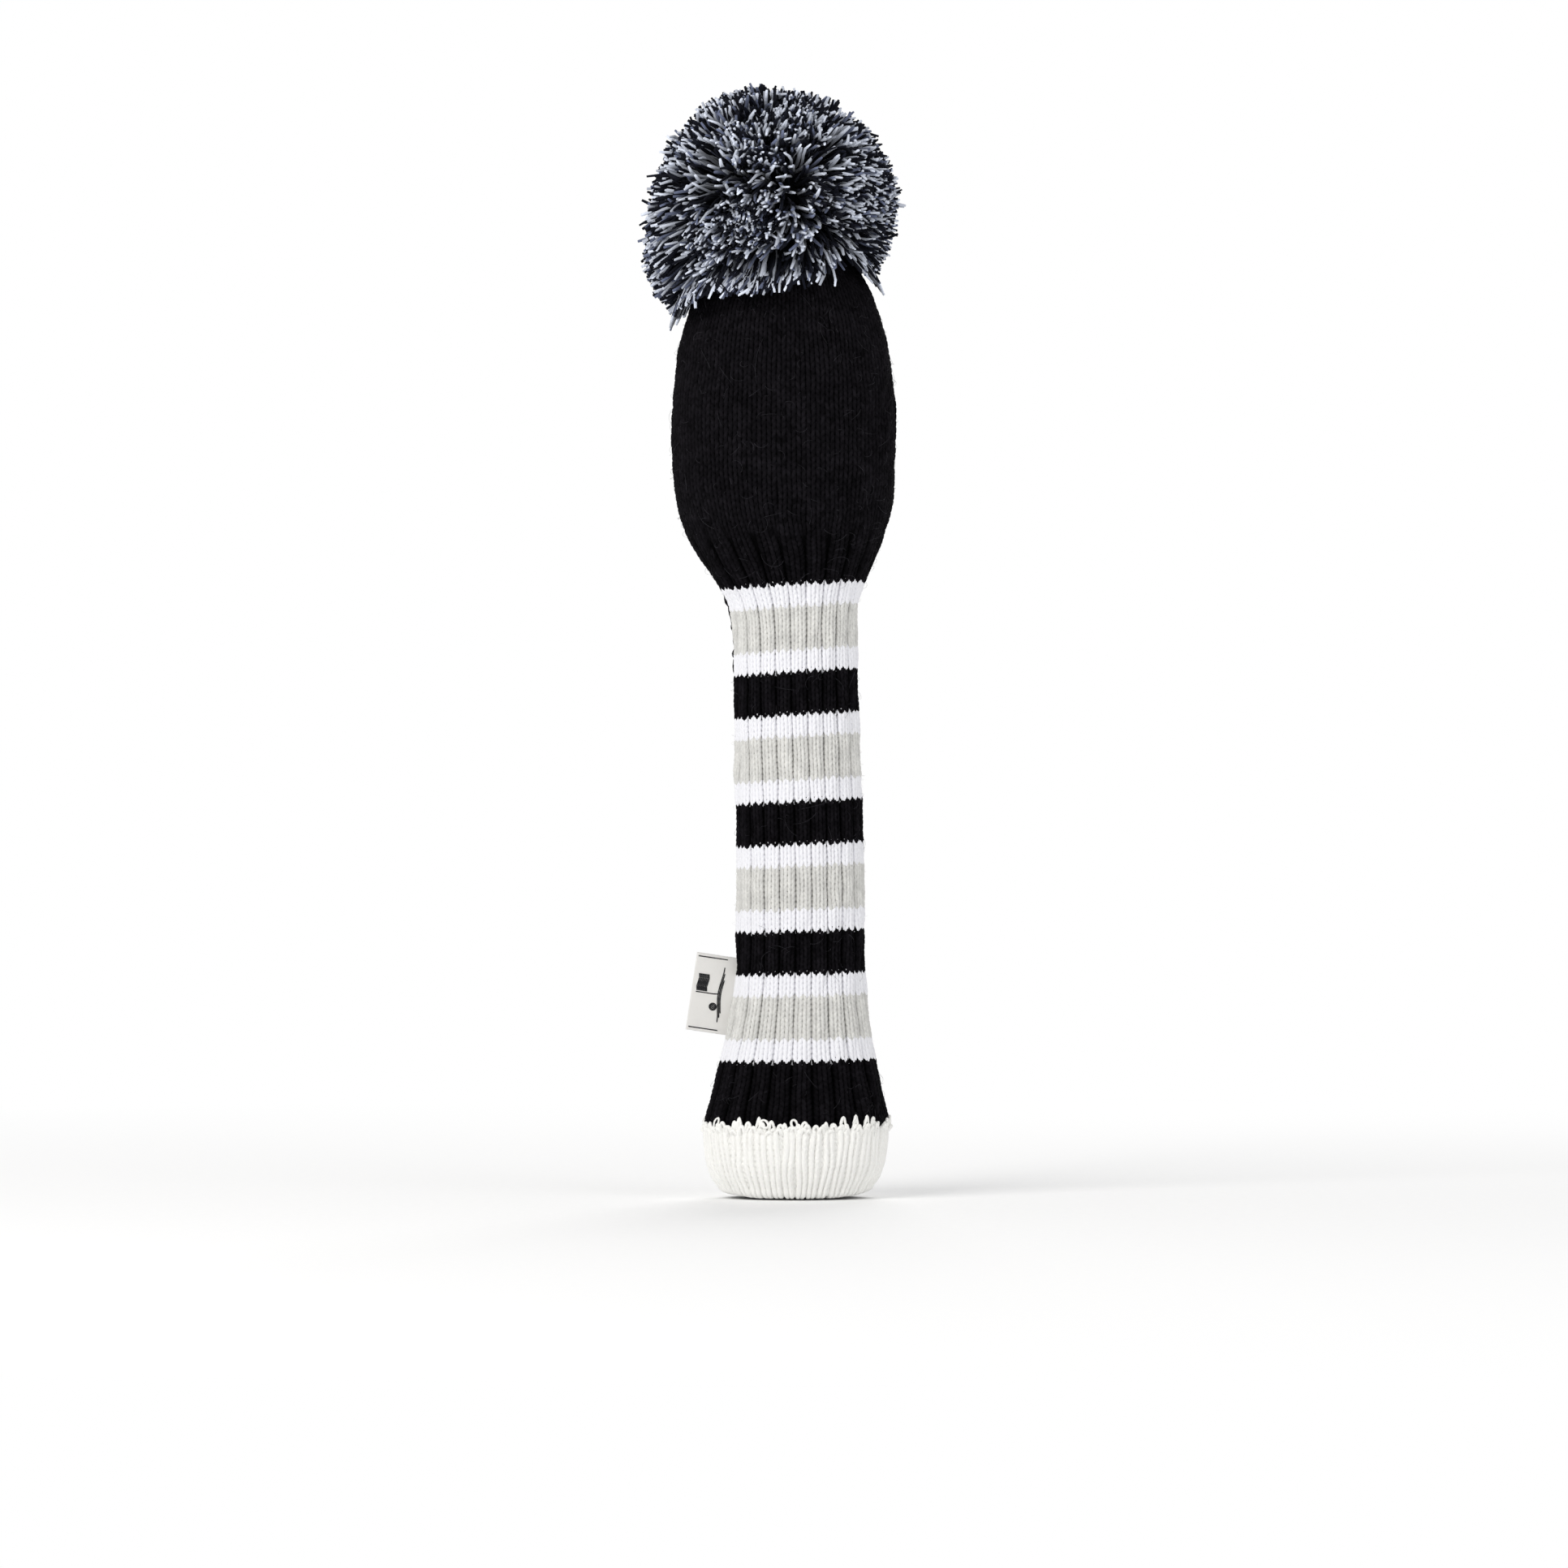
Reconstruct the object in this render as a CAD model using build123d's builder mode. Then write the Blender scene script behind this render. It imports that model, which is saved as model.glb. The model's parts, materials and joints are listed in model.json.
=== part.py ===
from build123d import *
import math
import os

# Driver head cover: a knitted sock with a pom-pom, worn over a club head.
# Millimetres. +Z is up, the origin is the centre of the cuff's mouth, and the
# side seam and its label are on the -X side.

# Knitting: the height of one course, and how many courses each colour takes
COURSE = 1.855
WHITE_COURSES = 4
GREY_COURSES = 8
BLACK_COURSES = 8
FLARE_COURSES = 11
STRIPE_GROUPS = 4
TAPER_HEIGHT = 18.2

# Widths and depths, as half sizes of the oval cross-section
CUFF_HALF_WIDTH = 32.0
CUFF_HALF_DEPTH = 23.5
CUFF_MOUTH_TUCK = 7.5
NECK_HALF_WIDTH = 21.2
NECK_SPREAD = 1.8
BODY_HALF_WIDTH = 38.6
BODY_HALF_DEPTH = 30.0

# Heights
CUFF_HEIGHT = 27.2
CUFF_SHOULDER = 21.0
FLARE_FADE = 50.0
SWELL_START = 15.0
SWELL_HEIGHT = 66.0
CROWN_HEIGHT = 70.0

# How far the sock's middle wanders sideways
NECK_BOW = 1.8
BODY_LEAN = -4.0

# Walls
KNIT = 3.2
LINING = 1.3
LINING_GAP = 1.3
CUFF_OUTER_LAYER = 2.6
ELASTIC_SLOT = 1.6
CUFF_INNER_LAYER = 1.8
CUFF_FOLD = 3.0
ELASTIC_WIDTH = 8.0
ELASTIC_CLEARANCE = 0.15
LINKING_HEIGHT = 1.8
LINKING_PROUD = 0.5
SEAM_WIDTH = 3.0
SEAM_THICKNESS = 0.9
SEAM_CLEARANCE = 0.15

# Elastic collar of the lining, which closes round the club's shaft
SHAFT_BORE_RADIUS = 8.8
COLLAR_BOTTOM = 150.0
COLLAR_HEIGHT = 14.0
COLLAR_WALL = 0.8
COLLAR_CLEARANCE = 0.05

# Crown: drawn shut by a gathering yarn, with the pom-pom's tie knotted inside
CROWN_DISC_RADIUS = 6.0
TIE_RADIUS = 1.6
TIE_HOLE_CLEARANCE = 0.3
GATHER_INNER_RADIUS = 3.2
GATHER_OUTER_RADIUS = 5.2
GATHER_THICKNESS = 1.6
KNOT_RADIUS = 4.4
KNOT_THICKNESS = 3.4
KNOT_ROOM = 2.0

# Pom-pom
POMPOM_RADIUS = 43.5
POMPOM_RISE = 11.5
POMPOM_LEAN = -2.6
POMPOM_TILT = 12.0
POMPOM_GAP = 1.2
BINDING_RADIUS = 5.0
BINDING_HEIGHT = 9.0
TIE_LENGTH = 5.3
NOD_PIVOT_RISE = 0.5
SWAY_PIVOT_RISE = 3.4
TIE_GAP = 0.45
BINDING_CLEARANCE = 0.75

# Label: a folded ribbon sewn into the side seam
LABEL_REACH = 12.8
LABEL_WIDTH = 27.0
LABEL_THICKNESS = 1.2
LABEL_FOLD_GAP = 0.3
LABEL_HEIGHT = 69.4
LABEL_TILT = 8.5
LABEL_HINGE_GAP = 1.7

# The neck is as deep as the collar and the walls round it
NECK_HALF_DEPTH = SHAFT_BORE_RADIUS + COLLAR_WALL + COLLAR_CLEARANCE + LINING + LINING_GAP + KNIT

# Heights that follow from the courses
STRIPE_GROUP_HEIGHT = (2 * WHITE_COURSES + GREY_COURSES) * COURSE
FLARE_TOP = CUFF_HEIGHT + FLARE_COURSES * COURSE
BLACK_BAND_TOTAL = (STRIPE_GROUPS - 1) * BLACK_COURSES * COURSE
STRIPES_TOP = FLARE_TOP + STRIPE_GROUPS * STRIPE_GROUP_HEIGHT + BLACK_BAND_TOTAL
TAPER_TOP = STRIPES_TOP + TAPER_HEIGHT
SWELL_BOTTOM = STRIPES_TOP - SWELL_START
WIDEST = SWELL_BOTTOM + SWELL_HEIGHT
CROWN_TOP = WIDEST + CROWN_HEIGHT
LINKING_BOTTOM = CUFF_HEIGHT - LINKING_HEIGHT / 2
LINKING_TOP = CUFF_HEIGHT + LINKING_HEIGHT / 2
LINER_SPLIT = STRIPES_TOP
CROWN_SHAPE = 2.4
UNDERSIDE_SHARES = (0.3, 0.45, 0.6, 0.7, 0.8, 0.88)
CUFF_STATIONS = (3.0, 7.0, 12.0)
FLARE_STATION_SHARES = (0.25, 0.6)
SWELL_STEPS = 12
CROWN_STATION_SHARES = (0.25, 0.45, 0.6, 0.72, 0.82, 0.9, 0.96)
STATION_SPACING = 0.2
STRIPES = (("white_lower", WHITE_COURSES), ("grey", GREY_COURSES), ("white_upper", WHITE_COURSES))
SWELL_SHARPNESS = 0.33


def swell(height):
    """How far the sock has opened from neck to body, from 0 to 1."""
    share = min(max((height - SWELL_BOTTOM) / SWELL_HEIGHT, 0.0), 1.0)
    return share**2 / (share**2 + SWELL_SHARPNESS * (1 - share) ** 2)


def flare(height):
    """How much of the cuff's spread is left at a height of the neck, from 1 to 0."""
    share = min(max((height - CUFF_HEIGHT) / FLARE_FADE, 0.0), 1.0)
    return (1 - share) ** 1.5


def section(height, inset=0.0, crown_drop=0.0):
    """Middle, half width and half depth of the oval at a height, a wall inside the outside."""
    if height <= CUFF_HEIGHT:
        rise = min(max(height / CUFF_SHOULDER, 0.0), 1.0) ** 0.8
        tuck = CUFF_MOUTH_TUCK * (1 - math.sin(rise * math.pi / 2))
        half_width = CUFF_HALF_WIDTH - tuck
        half_depth = CUFF_HALF_DEPTH - tuck
    elif height <= WIDEST:
        neck = NECK_HALF_WIDTH + NECK_SPREAD * max(1 - height / SWELL_BOTTOM, 0.0)
        half_width = neck + (BODY_HALF_WIDTH - neck) * swell(height)
        half_width += (CUFF_HALF_WIDTH - neck) * flare(height)
        half_depth = NECK_HALF_DEPTH + (BODY_HALF_DEPTH - NECK_HALF_DEPTH) * swell(height)
        half_depth += (CUFF_HALF_DEPTH - NECK_HALF_DEPTH) * flare(height)
    else:
        share = min((height - WIDEST) / (CROWN_HEIGHT - crown_drop), 1.0)
        round_off = (1 - share**CROWN_SHAPE) ** (1 / CROWN_SHAPE)
        half_width = max(BODY_HALF_WIDTH * round_off, CROWN_DISC_RADIUS + inset)
        half_depth = max(BODY_HALF_DEPTH * round_off, CROWN_DISC_RADIUS + inset)
    bow = NECK_BOW * math.sin(math.pi * min(height / SWELL_BOTTOM, 1.0)) ** 2
    middle = bow + BODY_LEAN * swell(height)
    return middle, half_width - inset, half_depth - inset


def stations(low, high, crown_drop=0.0):
    """Heights of the ovals that a stretch of the sock is drawn through."""
    marks = [*CUFF_STATIONS, CUFF_SHOULDER, CUFF_HEIGHT, LINKING_BOTTOM, LINKING_TOP]
    marks += [CUFF_HEIGHT + FLARE_FADE * share for share in FLARE_STATION_SHARES]
    marks += [top for _, _, top in colour_bands()]
    marks += [SWELL_BOTTOM + SWELL_HEIGHT * step / SWELL_STEPS for step in range(SWELL_STEPS + 1)]
    crown = CROWN_HEIGHT - crown_drop
    marks += [WIDEST + crown * share for share in CROWN_STATION_SHARES]
    lowest = low + STATION_SPACING
    highest = high - STATION_SPACING
    between = sorted(mark for mark in set(marks) if lowest < mark < highest)
    return [low] + between + [high]


def colour_bands():
    """Name, bottom and top of every coloured band of the neck, from the flare up."""
    bands = []
    height = FLARE_TOP
    for group in range(STRIPE_GROUPS, 0, -1):
        for name, courses in STRIPES:
            top = height + courses * COURSE
            bands.append((f"stripe_{group}_{name}", height, top))
            height = top
        if group > 1:
            top = height + BLACK_COURSES * COURSE
            bands.append((f"black_band_{group - 1}", height, top))
            height = top
    return bands


def ovals(low, high, inset=0.0, crown_drop=0.0):
    """The sock's ovals between two heights, ready to be lofted."""
    drawn = []
    for height in stations(low, high, crown_drop):
        middle, half_width, half_depth = section(height, inset, crown_drop)
        with BuildSketch(Plane.XY.offset(height)) as oval:
            with Locations((middle, 0)):
                Ellipse(half_width, half_depth)
        drawn.append(oval.sketch)
    return drawn


def save(part, name):
    """Label a finished piece and write it."""
    part.label = name
    export_step(part, f"parts/{name}.step")


def label_plane():
    """Middle of the label's hinge line: X outwards, Y up along the seam, Z to the back."""
    middle, half_width, _ = section(LABEL_HEIGHT)
    lean = math.radians(LABEL_TILT)
    outwards = (-math.cos(lean), 0, math.sin(lean))
    hinge = (middle - half_width - LABEL_HINGE_GAP, 0, LABEL_HEIGHT)
    return Plane(origin=hinge, x_dir=outwards, z_dir=(0, 1, 0))


def label_slot(depth):
    """The space that the ribbon's sewn ends fill, from the hinge line inwards."""
    with BuildPart() as slot:
        with BuildSketch(label_plane()):
            with Locations((-depth / 2, 0)):
                Rectangle(depth, LABEL_WIDTH)
        extrude(amount=LABEL_THICKNESS / 2, both=True)
    return slot.part


def knit_ring(name, low, high):
    """One colour of the knitted tube, with a slit where the label is sewn in."""
    with BuildPart() as ring:
        loft(ovals(low, high), ruled=True)
        loft(ovals(low, high, KNIT), ruled=True, mode=Mode.SUBTRACT)
        add(label_slot(LABEL_REACH), mode=Mode.SUBTRACT)
    save(ring.part, name)


def knit_body():
    """The black body: widest over the club head, drawn shut at the crown."""
    with BuildPart() as body:
        loft(ovals(TAPER_TOP, CROWN_TOP), ruled=True)
        loft(ovals(TAPER_TOP, CROWN_TOP - KNIT, KNIT, KNIT), ruled=True, mode=Mode.SUBTRACT)
        with BuildSketch(Plane.XY.offset(CROWN_TOP - 2 * KNIT)):
            with Locations((BODY_LEAN, 0)):
                Circle(TIE_RADIUS + TIE_HOLE_CLEARANCE)
        extrude(amount=3 * KNIT, mode=Mode.SUBTRACT)
    save(body.part, "knit_body")


def cuff():
    """The ribbed cuff: turned up inside on itself, with a slot for the elastic."""
    slot = CUFF_OUTER_LAYER + ELASTIC_SLOT
    mouth = ovals(0, LINKING_BOTTOM, slot + CUFF_INNER_LAYER)
    with BuildPart() as turned:
        loft(ovals(0, LINKING_BOTTOM), ruled=True)
        loft(ovals(CUFF_FOLD, LINKING_BOTTOM, CUFF_OUTER_LAYER), ruled=True, mode=Mode.SUBTRACT)
        loft(ovals(CUFF_FOLD, LINKING_BOTTOM, slot), ruled=True)
        loft(mouth, ruled=True, mode=Mode.SUBTRACT)
    save(turned.part, "cuff")


def cuff_elastic():
    """The flat elastic that lies in the cuff's fold."""
    top = CUFF_FOLD + ELASTIC_WIDTH
    outer = CUFF_OUTER_LAYER + ELASTIC_CLEARANCE
    inner = CUFF_OUTER_LAYER + ELASTIC_SLOT - ELASTIC_CLEARANCE
    with BuildPart() as band:
        loft(ovals(CUFF_FOLD, top, outer), ruled=True)
        loft(ovals(CUFF_FOLD, top, inner), ruled=True, mode=Mode.SUBTRACT)
    save(band.part, "cuff_elastic")


def cuff_linking_yarn():
    """The round of white yarn that links the cuff to the flare."""
    with BuildPart() as linking:
        loft(ovals(LINKING_BOTTOM, LINKING_TOP, -LINKING_PROUD), ruled=True)
        loft(ovals(LINKING_BOTTOM, LINKING_TOP, KNIT), ruled=True, mode=Mode.SUBTRACT)
    save(linking.part, "cuff_linking_yarn")


def side_seam():
    """The mattress-stitched seam, a thin ridge inside the -X side of the knit."""
    low = LINKING_TOP
    outer = KNIT + SEAM_CLEARANCE
    with BuildPart() as seam:
        loft(ovals(low, WIDEST, outer), ruled=True)
        loft(ovals(low, WIDEST, outer + SEAM_THICKNESS), ruled=True, mode=Mode.SUBTRACT)
        with BuildSketch(Plane.XY.offset(low)):
            with Locations((-BODY_HALF_WIDTH, 0)):
                Rectangle(2 * BODY_HALF_WIDTH, SEAM_WIDTH)
        extrude(amount=WIDEST - low, mode=Mode.INTERSECT)
    save(seam.part, "side_seam")


def neck_liner():
    """The soft lining of the neck, from the cuff up to the head pocket."""
    inset = KNIT + LINING_GAP
    with BuildPart() as sleeve:
        loft(ovals(LINKING_TOP, LINER_SPLIT, inset), ruled=True)
        loft(ovals(LINKING_TOP, LINER_SPLIT, inset + LINING), ruled=True, mode=Mode.SUBTRACT)
    save(sleeve.part, "neck_liner")


def shaft_collar():
    """The elastic collar inside the neck, oval outside and round inside."""
    inset = KNIT + LINING_GAP + LINING + COLLAR_CLEARANCE
    top = COLLAR_BOTTOM + COLLAR_HEIGHT
    with BuildPart() as collar:
        loft(ovals(COLLAR_BOTTOM, top, inset), ruled=True)
        with BuildSketch(Plane.XY.offset(COLLAR_BOTTOM)):
            Circle(SHAFT_BORE_RADIUS)
        extrude(amount=COLLAR_HEIGHT, mode=Mode.SUBTRACT)
    save(collar.part, "shaft_collar")


def head_liner():
    """The fleece pocket round the club head, closed below the crown's knot."""
    outer = KNIT + LINING_GAP
    inner = outer + LINING
    drop = KNIT + GATHER_THICKNESS + KNOT_THICKNESS + KNOT_ROOM
    inner_drop = drop + LINING
    with BuildPart() as pocket:
        loft(ovals(LINER_SPLIT, CROWN_TOP - drop, outer, drop), ruled=True)
        loft(ovals(LINER_SPLIT, CROWN_TOP - inner_drop, inner, inner_drop), ruled=True, mode=Mode.SUBTRACT)
    save(pocket.part, "head_liner")


def crown_gather_yarn():
    """The yarn that draws the last course of the crown shut, under the knit."""
    top = CROWN_TOP - KNIT
    with BuildPart() as gather:
        with BuildSketch(Plane.XY.offset(top - GATHER_THICKNESS)):
            with Locations((BODY_LEAN, 0)):
                Circle(GATHER_OUTER_RADIUS)
                Circle(GATHER_INNER_RADIUS, mode=Mode.SUBTRACT)
        extrude(amount=GATHER_THICKNESS)
        fillet(gather.faces().sort_by(Axis.Z)[0].edges(), GATHER_THICKNESS / 4)
    save(gather.part, "crown_gather_yarn")


def tie_anchor():
    """The pom-pom's tie where it passes the crown, and the knot that holds it inside."""
    knot_top = CROWN_TOP - KNIT - GATHER_THICKNESS
    with BuildPart() as anchor:
        with BuildSketch(Plane.XY.offset(knot_top - KNOT_THICKNESS)):
            with Locations((BODY_LEAN, 0)):
                Circle(KNOT_RADIUS)
        extrude(amount=KNOT_THICKNESS)
        fillet(anchor.edges(), KNOT_THICKNESS / 3)
        with BuildSketch(Plane.XY.offset(knot_top - KNOT_THICKNESS / 2)):
            with Locations((BODY_LEAN, 0)):
                Circle(TIE_RADIUS)
        extrude(amount=CROWN_TOP - knot_top + KNOT_THICKNESS / 2)
    save(anchor.part, "tie_anchor")


def tie_bottom():
    """Lower end of the tie above the crown."""
    return CROWN_TOP + NOD_PIVOT_RISE + TIE_GAP


def binding_bottom():
    """Lower end of the binding, clear of the tie however the pom-pom sways."""
    return tie_bottom() + TIE_LENGTH + BINDING_CLEARANCE


def pompom_tie():
    """The short doubled yarn that the pom-pom stands on."""
    with BuildPart() as tie:
        with BuildSketch(Plane.XY.offset(tie_bottom())):
            with Locations((BODY_LEAN, 0)):
                Circle(TIE_RADIUS)
        extrude(amount=TIE_LENGTH)
    save(tie.part, "pompom_tie")


def pompom_binding():
    """The yarn wound tight round the middle of the pom-pom's strands."""
    with BuildPart() as binding:
        with BuildSketch(Plane.XY.offset(binding_bottom())):
            with Locations((BODY_LEAN, 0)):
                Circle(BINDING_RADIUS)
        extrude(amount=BINDING_HEIGHT)
    save(binding.part, "pompom_binding")


def underside_point(share):
    """A point of the crown as the pom-pom meets it when it leans that way, and a gap more."""
    tilt = math.radians(POMPOM_TILT * math.sqrt(2))
    radius = BODY_HALF_WIDTH * share
    drop = CROWN_HEIGHT * (1 - (1 - share**CROWN_SHAPE) ** (1 / CROWN_SHAPE))
    outwards = radius * math.cos(tilt) + drop * math.sin(tilt)
    upwards = radius * math.sin(tilt) - drop * math.cos(tilt)
    return outwards + POMPOM_GAP, CROWN_TOP + NOD_PIVOT_RISE + upwards + POMPOM_GAP


def pompom_pile():
    """The ball of cut yarn, hollow underneath where it nods over the crown."""
    ball_middle = (BODY_LEAN + POMPOM_LEAN, 0, CROWN_TOP + POMPOM_RISE)
    tie_plane = Plane(origin=(BODY_LEAN, 0, 0), x_dir=(1, 0, 0), z_dir=(0, -1, 0))
    underside = [underside_point(share) for share in UNDERSIDE_SHARES]
    rim = underside[-1][0]
    core_top = binding_bottom() + BINDING_HEIGHT
    core = [(0, core_top), (BINDING_RADIUS, core_top), (BINDING_RADIUS, underside[0][1])]
    with BuildPart() as pile:
        with Locations(ball_middle):
            Sphere(POMPOM_RADIUS)
        with BuildSketch(tie_plane):
            with BuildLine():
                Polyline(*core, *underside, (rim, WIDEST), (0, WIDEST), close=True)
            make_face()
        revolve(axis=Axis((BODY_LEAN, 0, 0), (0, 0, 1)), mode=Mode.SUBTRACT)
    save(pile.part, "pompom_pile")


def label_tab():
    """The ribbon's two ends where they lie in the seam, inside the knit's wall."""
    low = LABEL_HEIGHT - LABEL_WIDTH
    high = LABEL_HEIGHT + LABEL_WIDTH
    with BuildPart() as tab:
        loft(ovals(low, high), ruled=True)
        loft(ovals(low, high, KNIT), ruled=True, mode=Mode.SUBTRACT)
        add(label_slot(LABEL_REACH), mode=Mode.INTERSECT)
    save(tab.part, "label_tab")


def label_ribbon():
    """The folded ribbon that hangs out of the seam."""
    hinge = label_plane()
    start = LABEL_THICKNESS / 2
    across = Plane(origin=hinge.origin, x_dir=hinge.x_dir, z_dir=hinge.y_dir)
    with BuildPart() as ribbon:
        with BuildSketch(across):
            with Locations(((start + LABEL_REACH) / 2, 0)):
                Rectangle(LABEL_REACH - start, LABEL_THICKNESS)
            with Locations(((start + LABEL_REACH - LABEL_THICKNESS) / 2, 0)):
                Rectangle(LABEL_REACH - start - LABEL_THICKNESS, LABEL_FOLD_GAP, mode=Mode.SUBTRACT)
        extrude(amount=LABEL_WIDTH / 2, both=True)
        fold = ribbon.faces().sort_by(Axis.X)[0]
        fillet(fold.edges().filter_by(Axis(hinge.origin, hinge.y_dir)), LABEL_THICKNESS / 3)
    save(ribbon.part, "label_ribbon")


os.makedirs("parts", exist_ok=True)
for band_name, bottom, top in colour_bands():
    knit_ring(band_name, bottom, top)
knit_ring("flare_band", LINKING_TOP, FLARE_TOP)
knit_ring("rib_taper", STRIPES_TOP, TAPER_TOP)
knit_body()
cuff()
cuff_elastic()
cuff_linking_yarn()
side_seam()
neck_liner()
shaft_collar()
head_liner()
crown_gather_yarn()
tie_anchor()
pompom_tie()
pompom_binding()
pompom_pile()
label_tab()
label_ribbon()
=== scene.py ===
"""Knitted driver head cover, knitted yarn by yarn round its CAD frame. Metres, +Z up."""

import json
import math
from typing import NamedTuple

import bpy
import numpy as np
from mathutils import Matrix, Vector
from mathutils.bvhtree import BVHTree


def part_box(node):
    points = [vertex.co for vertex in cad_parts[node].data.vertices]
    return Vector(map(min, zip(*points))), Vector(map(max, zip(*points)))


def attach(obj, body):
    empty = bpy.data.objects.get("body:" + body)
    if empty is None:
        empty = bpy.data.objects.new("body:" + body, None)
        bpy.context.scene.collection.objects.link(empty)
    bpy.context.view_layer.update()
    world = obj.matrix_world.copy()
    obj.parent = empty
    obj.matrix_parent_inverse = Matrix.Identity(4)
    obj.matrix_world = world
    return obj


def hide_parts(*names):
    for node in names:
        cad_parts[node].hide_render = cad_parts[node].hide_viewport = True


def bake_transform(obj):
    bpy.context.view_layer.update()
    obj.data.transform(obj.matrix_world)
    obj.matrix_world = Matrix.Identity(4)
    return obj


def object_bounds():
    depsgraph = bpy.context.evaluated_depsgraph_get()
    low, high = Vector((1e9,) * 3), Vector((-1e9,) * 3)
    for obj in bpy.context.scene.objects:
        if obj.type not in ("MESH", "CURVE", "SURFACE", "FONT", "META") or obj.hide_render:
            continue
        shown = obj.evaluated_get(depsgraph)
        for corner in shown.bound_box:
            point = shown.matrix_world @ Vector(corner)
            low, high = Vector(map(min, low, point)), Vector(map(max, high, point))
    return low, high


bl_info = {
    "name": "Knitted head cover",
    "version": (1, 0, 0),
    "blender": (4, 5, 0),
    "location": "3D View > Sidebar > Head cover",
    "description": "Knits a pom-pom head cover round its CAD frame",
    "category": "Add Mesh",
}

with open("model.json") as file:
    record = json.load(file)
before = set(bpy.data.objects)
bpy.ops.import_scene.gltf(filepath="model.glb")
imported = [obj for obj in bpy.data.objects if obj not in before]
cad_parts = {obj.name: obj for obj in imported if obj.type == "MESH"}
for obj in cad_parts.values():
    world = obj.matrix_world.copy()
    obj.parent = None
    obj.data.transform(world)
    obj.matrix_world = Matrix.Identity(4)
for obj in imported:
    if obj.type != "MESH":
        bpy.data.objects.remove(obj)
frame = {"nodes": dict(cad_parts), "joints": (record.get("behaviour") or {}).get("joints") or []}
CAD_BOX = [list(corner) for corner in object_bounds()]
MM = 0.001
ROW_STEP = 0.5 * MM
COLUMNS = 252
OVAL_SAMPLES = 721
MOST_COURSES = 14
LOOP_POINTS = 14
YARN_SIDES = 6
STRAND_POINTS = 7
STRAND_SIDES = 5
NODS = (-12, 12, -8, 8, -4, 4, 0)
SWAYS = (-4, 4, 0)
FARTHEST_PUSH = 8 * MM
SLIMMEST_GIRTH = 75 * MM


class Habit(NamedTuple):
    """How a yarn of the sock knits up."""

    # The first field sets both how much the yarn's tone varies at random from loop to loop and how strongly
    # painted shade darkens its deep parts and grooves.
    uneven_and_shade: float
    plump: float
    fibre: float


HABITS = {
    "black_yarn": Habit(uneven_and_shade=0.85, plump=1.0, fibre=4.6 * MM),
    "white_yarn": Habit(uneven_and_shade=0.04, plump=1.08, fibre=1.5 * MM),
    "grey_yarn": Habit(uneven_and_shade=0.22, plump=1.03, fibre=1.8 * MM),
}


# ---------------------------------------------------------------- sizes and colours


def size_property(name, description, default):
    """A size in metres."""
    return bpy.props.FloatProperty(name=name, description=description, default=default, unit="LENGTH")


def share_property(name, description, default, least, most):
    """A share of something, kept between two limits."""
    return bpy.props.FloatProperty(name=name, description=description, default=default, min=least, max=most)


def count_property(name, description, default, least=1):
    """How many there are of something."""
    return bpy.props.IntProperty(name=name, description=description, default=default, min=least)


def colour_property(name, description, default):
    """A colour, in linear light."""
    return bpy.props.FloatVectorProperty(
        name=name, description=description, default=default, subtype="COLOR", size=3, min=0, max=1
    )


class KnitSizes(bpy.types.PropertyGroup):
    """How the sock and its cuff are knitted."""

    ribs: count_property("Ribs", "Ribs round the neck", 21, least=8)
    stripe_course: size_property("Neck course", "Height of one course of the neck", 1.87 * MM)
    body_course: size_property("Body course", "Height of one course of the body", 2.35 * MM)
    rib_depth: size_property("Rib depth", "How deep the grooves lie between ribs", 1.45 * MM)
    groove: share_property("Groove", "Share of a rib's pitch taken by its purl wale", 0.09, 0.02, 0.33)
    yarn_share: share_property("Yarn share", "Radius of the yarn as a share of its wale", 0.25, 0.15, 0.35)
    stripe_slant: size_property("Stripe slant", "How far the stripes drop towards the seam", 1.5 * MM)
    cuff_columns: count_property("Cuff columns", "Knit columns round the cuff", 36)
    cuff_course: size_property("Cuff course", "Height of one course of the cuff", 2.0 * MM)
    cuff_depth: size_property("Cuff rib depth", "How deep the cuff's grooves lie", 1.0 * MM)
    link_tips: count_property("Linking tips", "Stitches that link the cuff", 42)
    fibre_area: bpy.props.FloatProperty(
        name="Fibre area", description="Square metres to each loose fibre", default=45e-6, precision=6
    )


class PompomSizes(bpy.types.PropertyGroup):
    """The pom-pom's strands."""

    strands: count_property("Strands", "Cut yarns in the pom-pom", 12000)
    strand_radius: size_property("Strand radius", "Half the thickness of a strand", 0.57 * MM)
    tufts: count_property("Tufts", "Clumps that the strands lean into", 150)
    droop: size_property("Droop", "How far the lower half hangs to the seam side", 5.0 * MM)
    lobe: size_property("Lobe", "How far the strands bulge out low on the seam side", 5.5 * MM)


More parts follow.
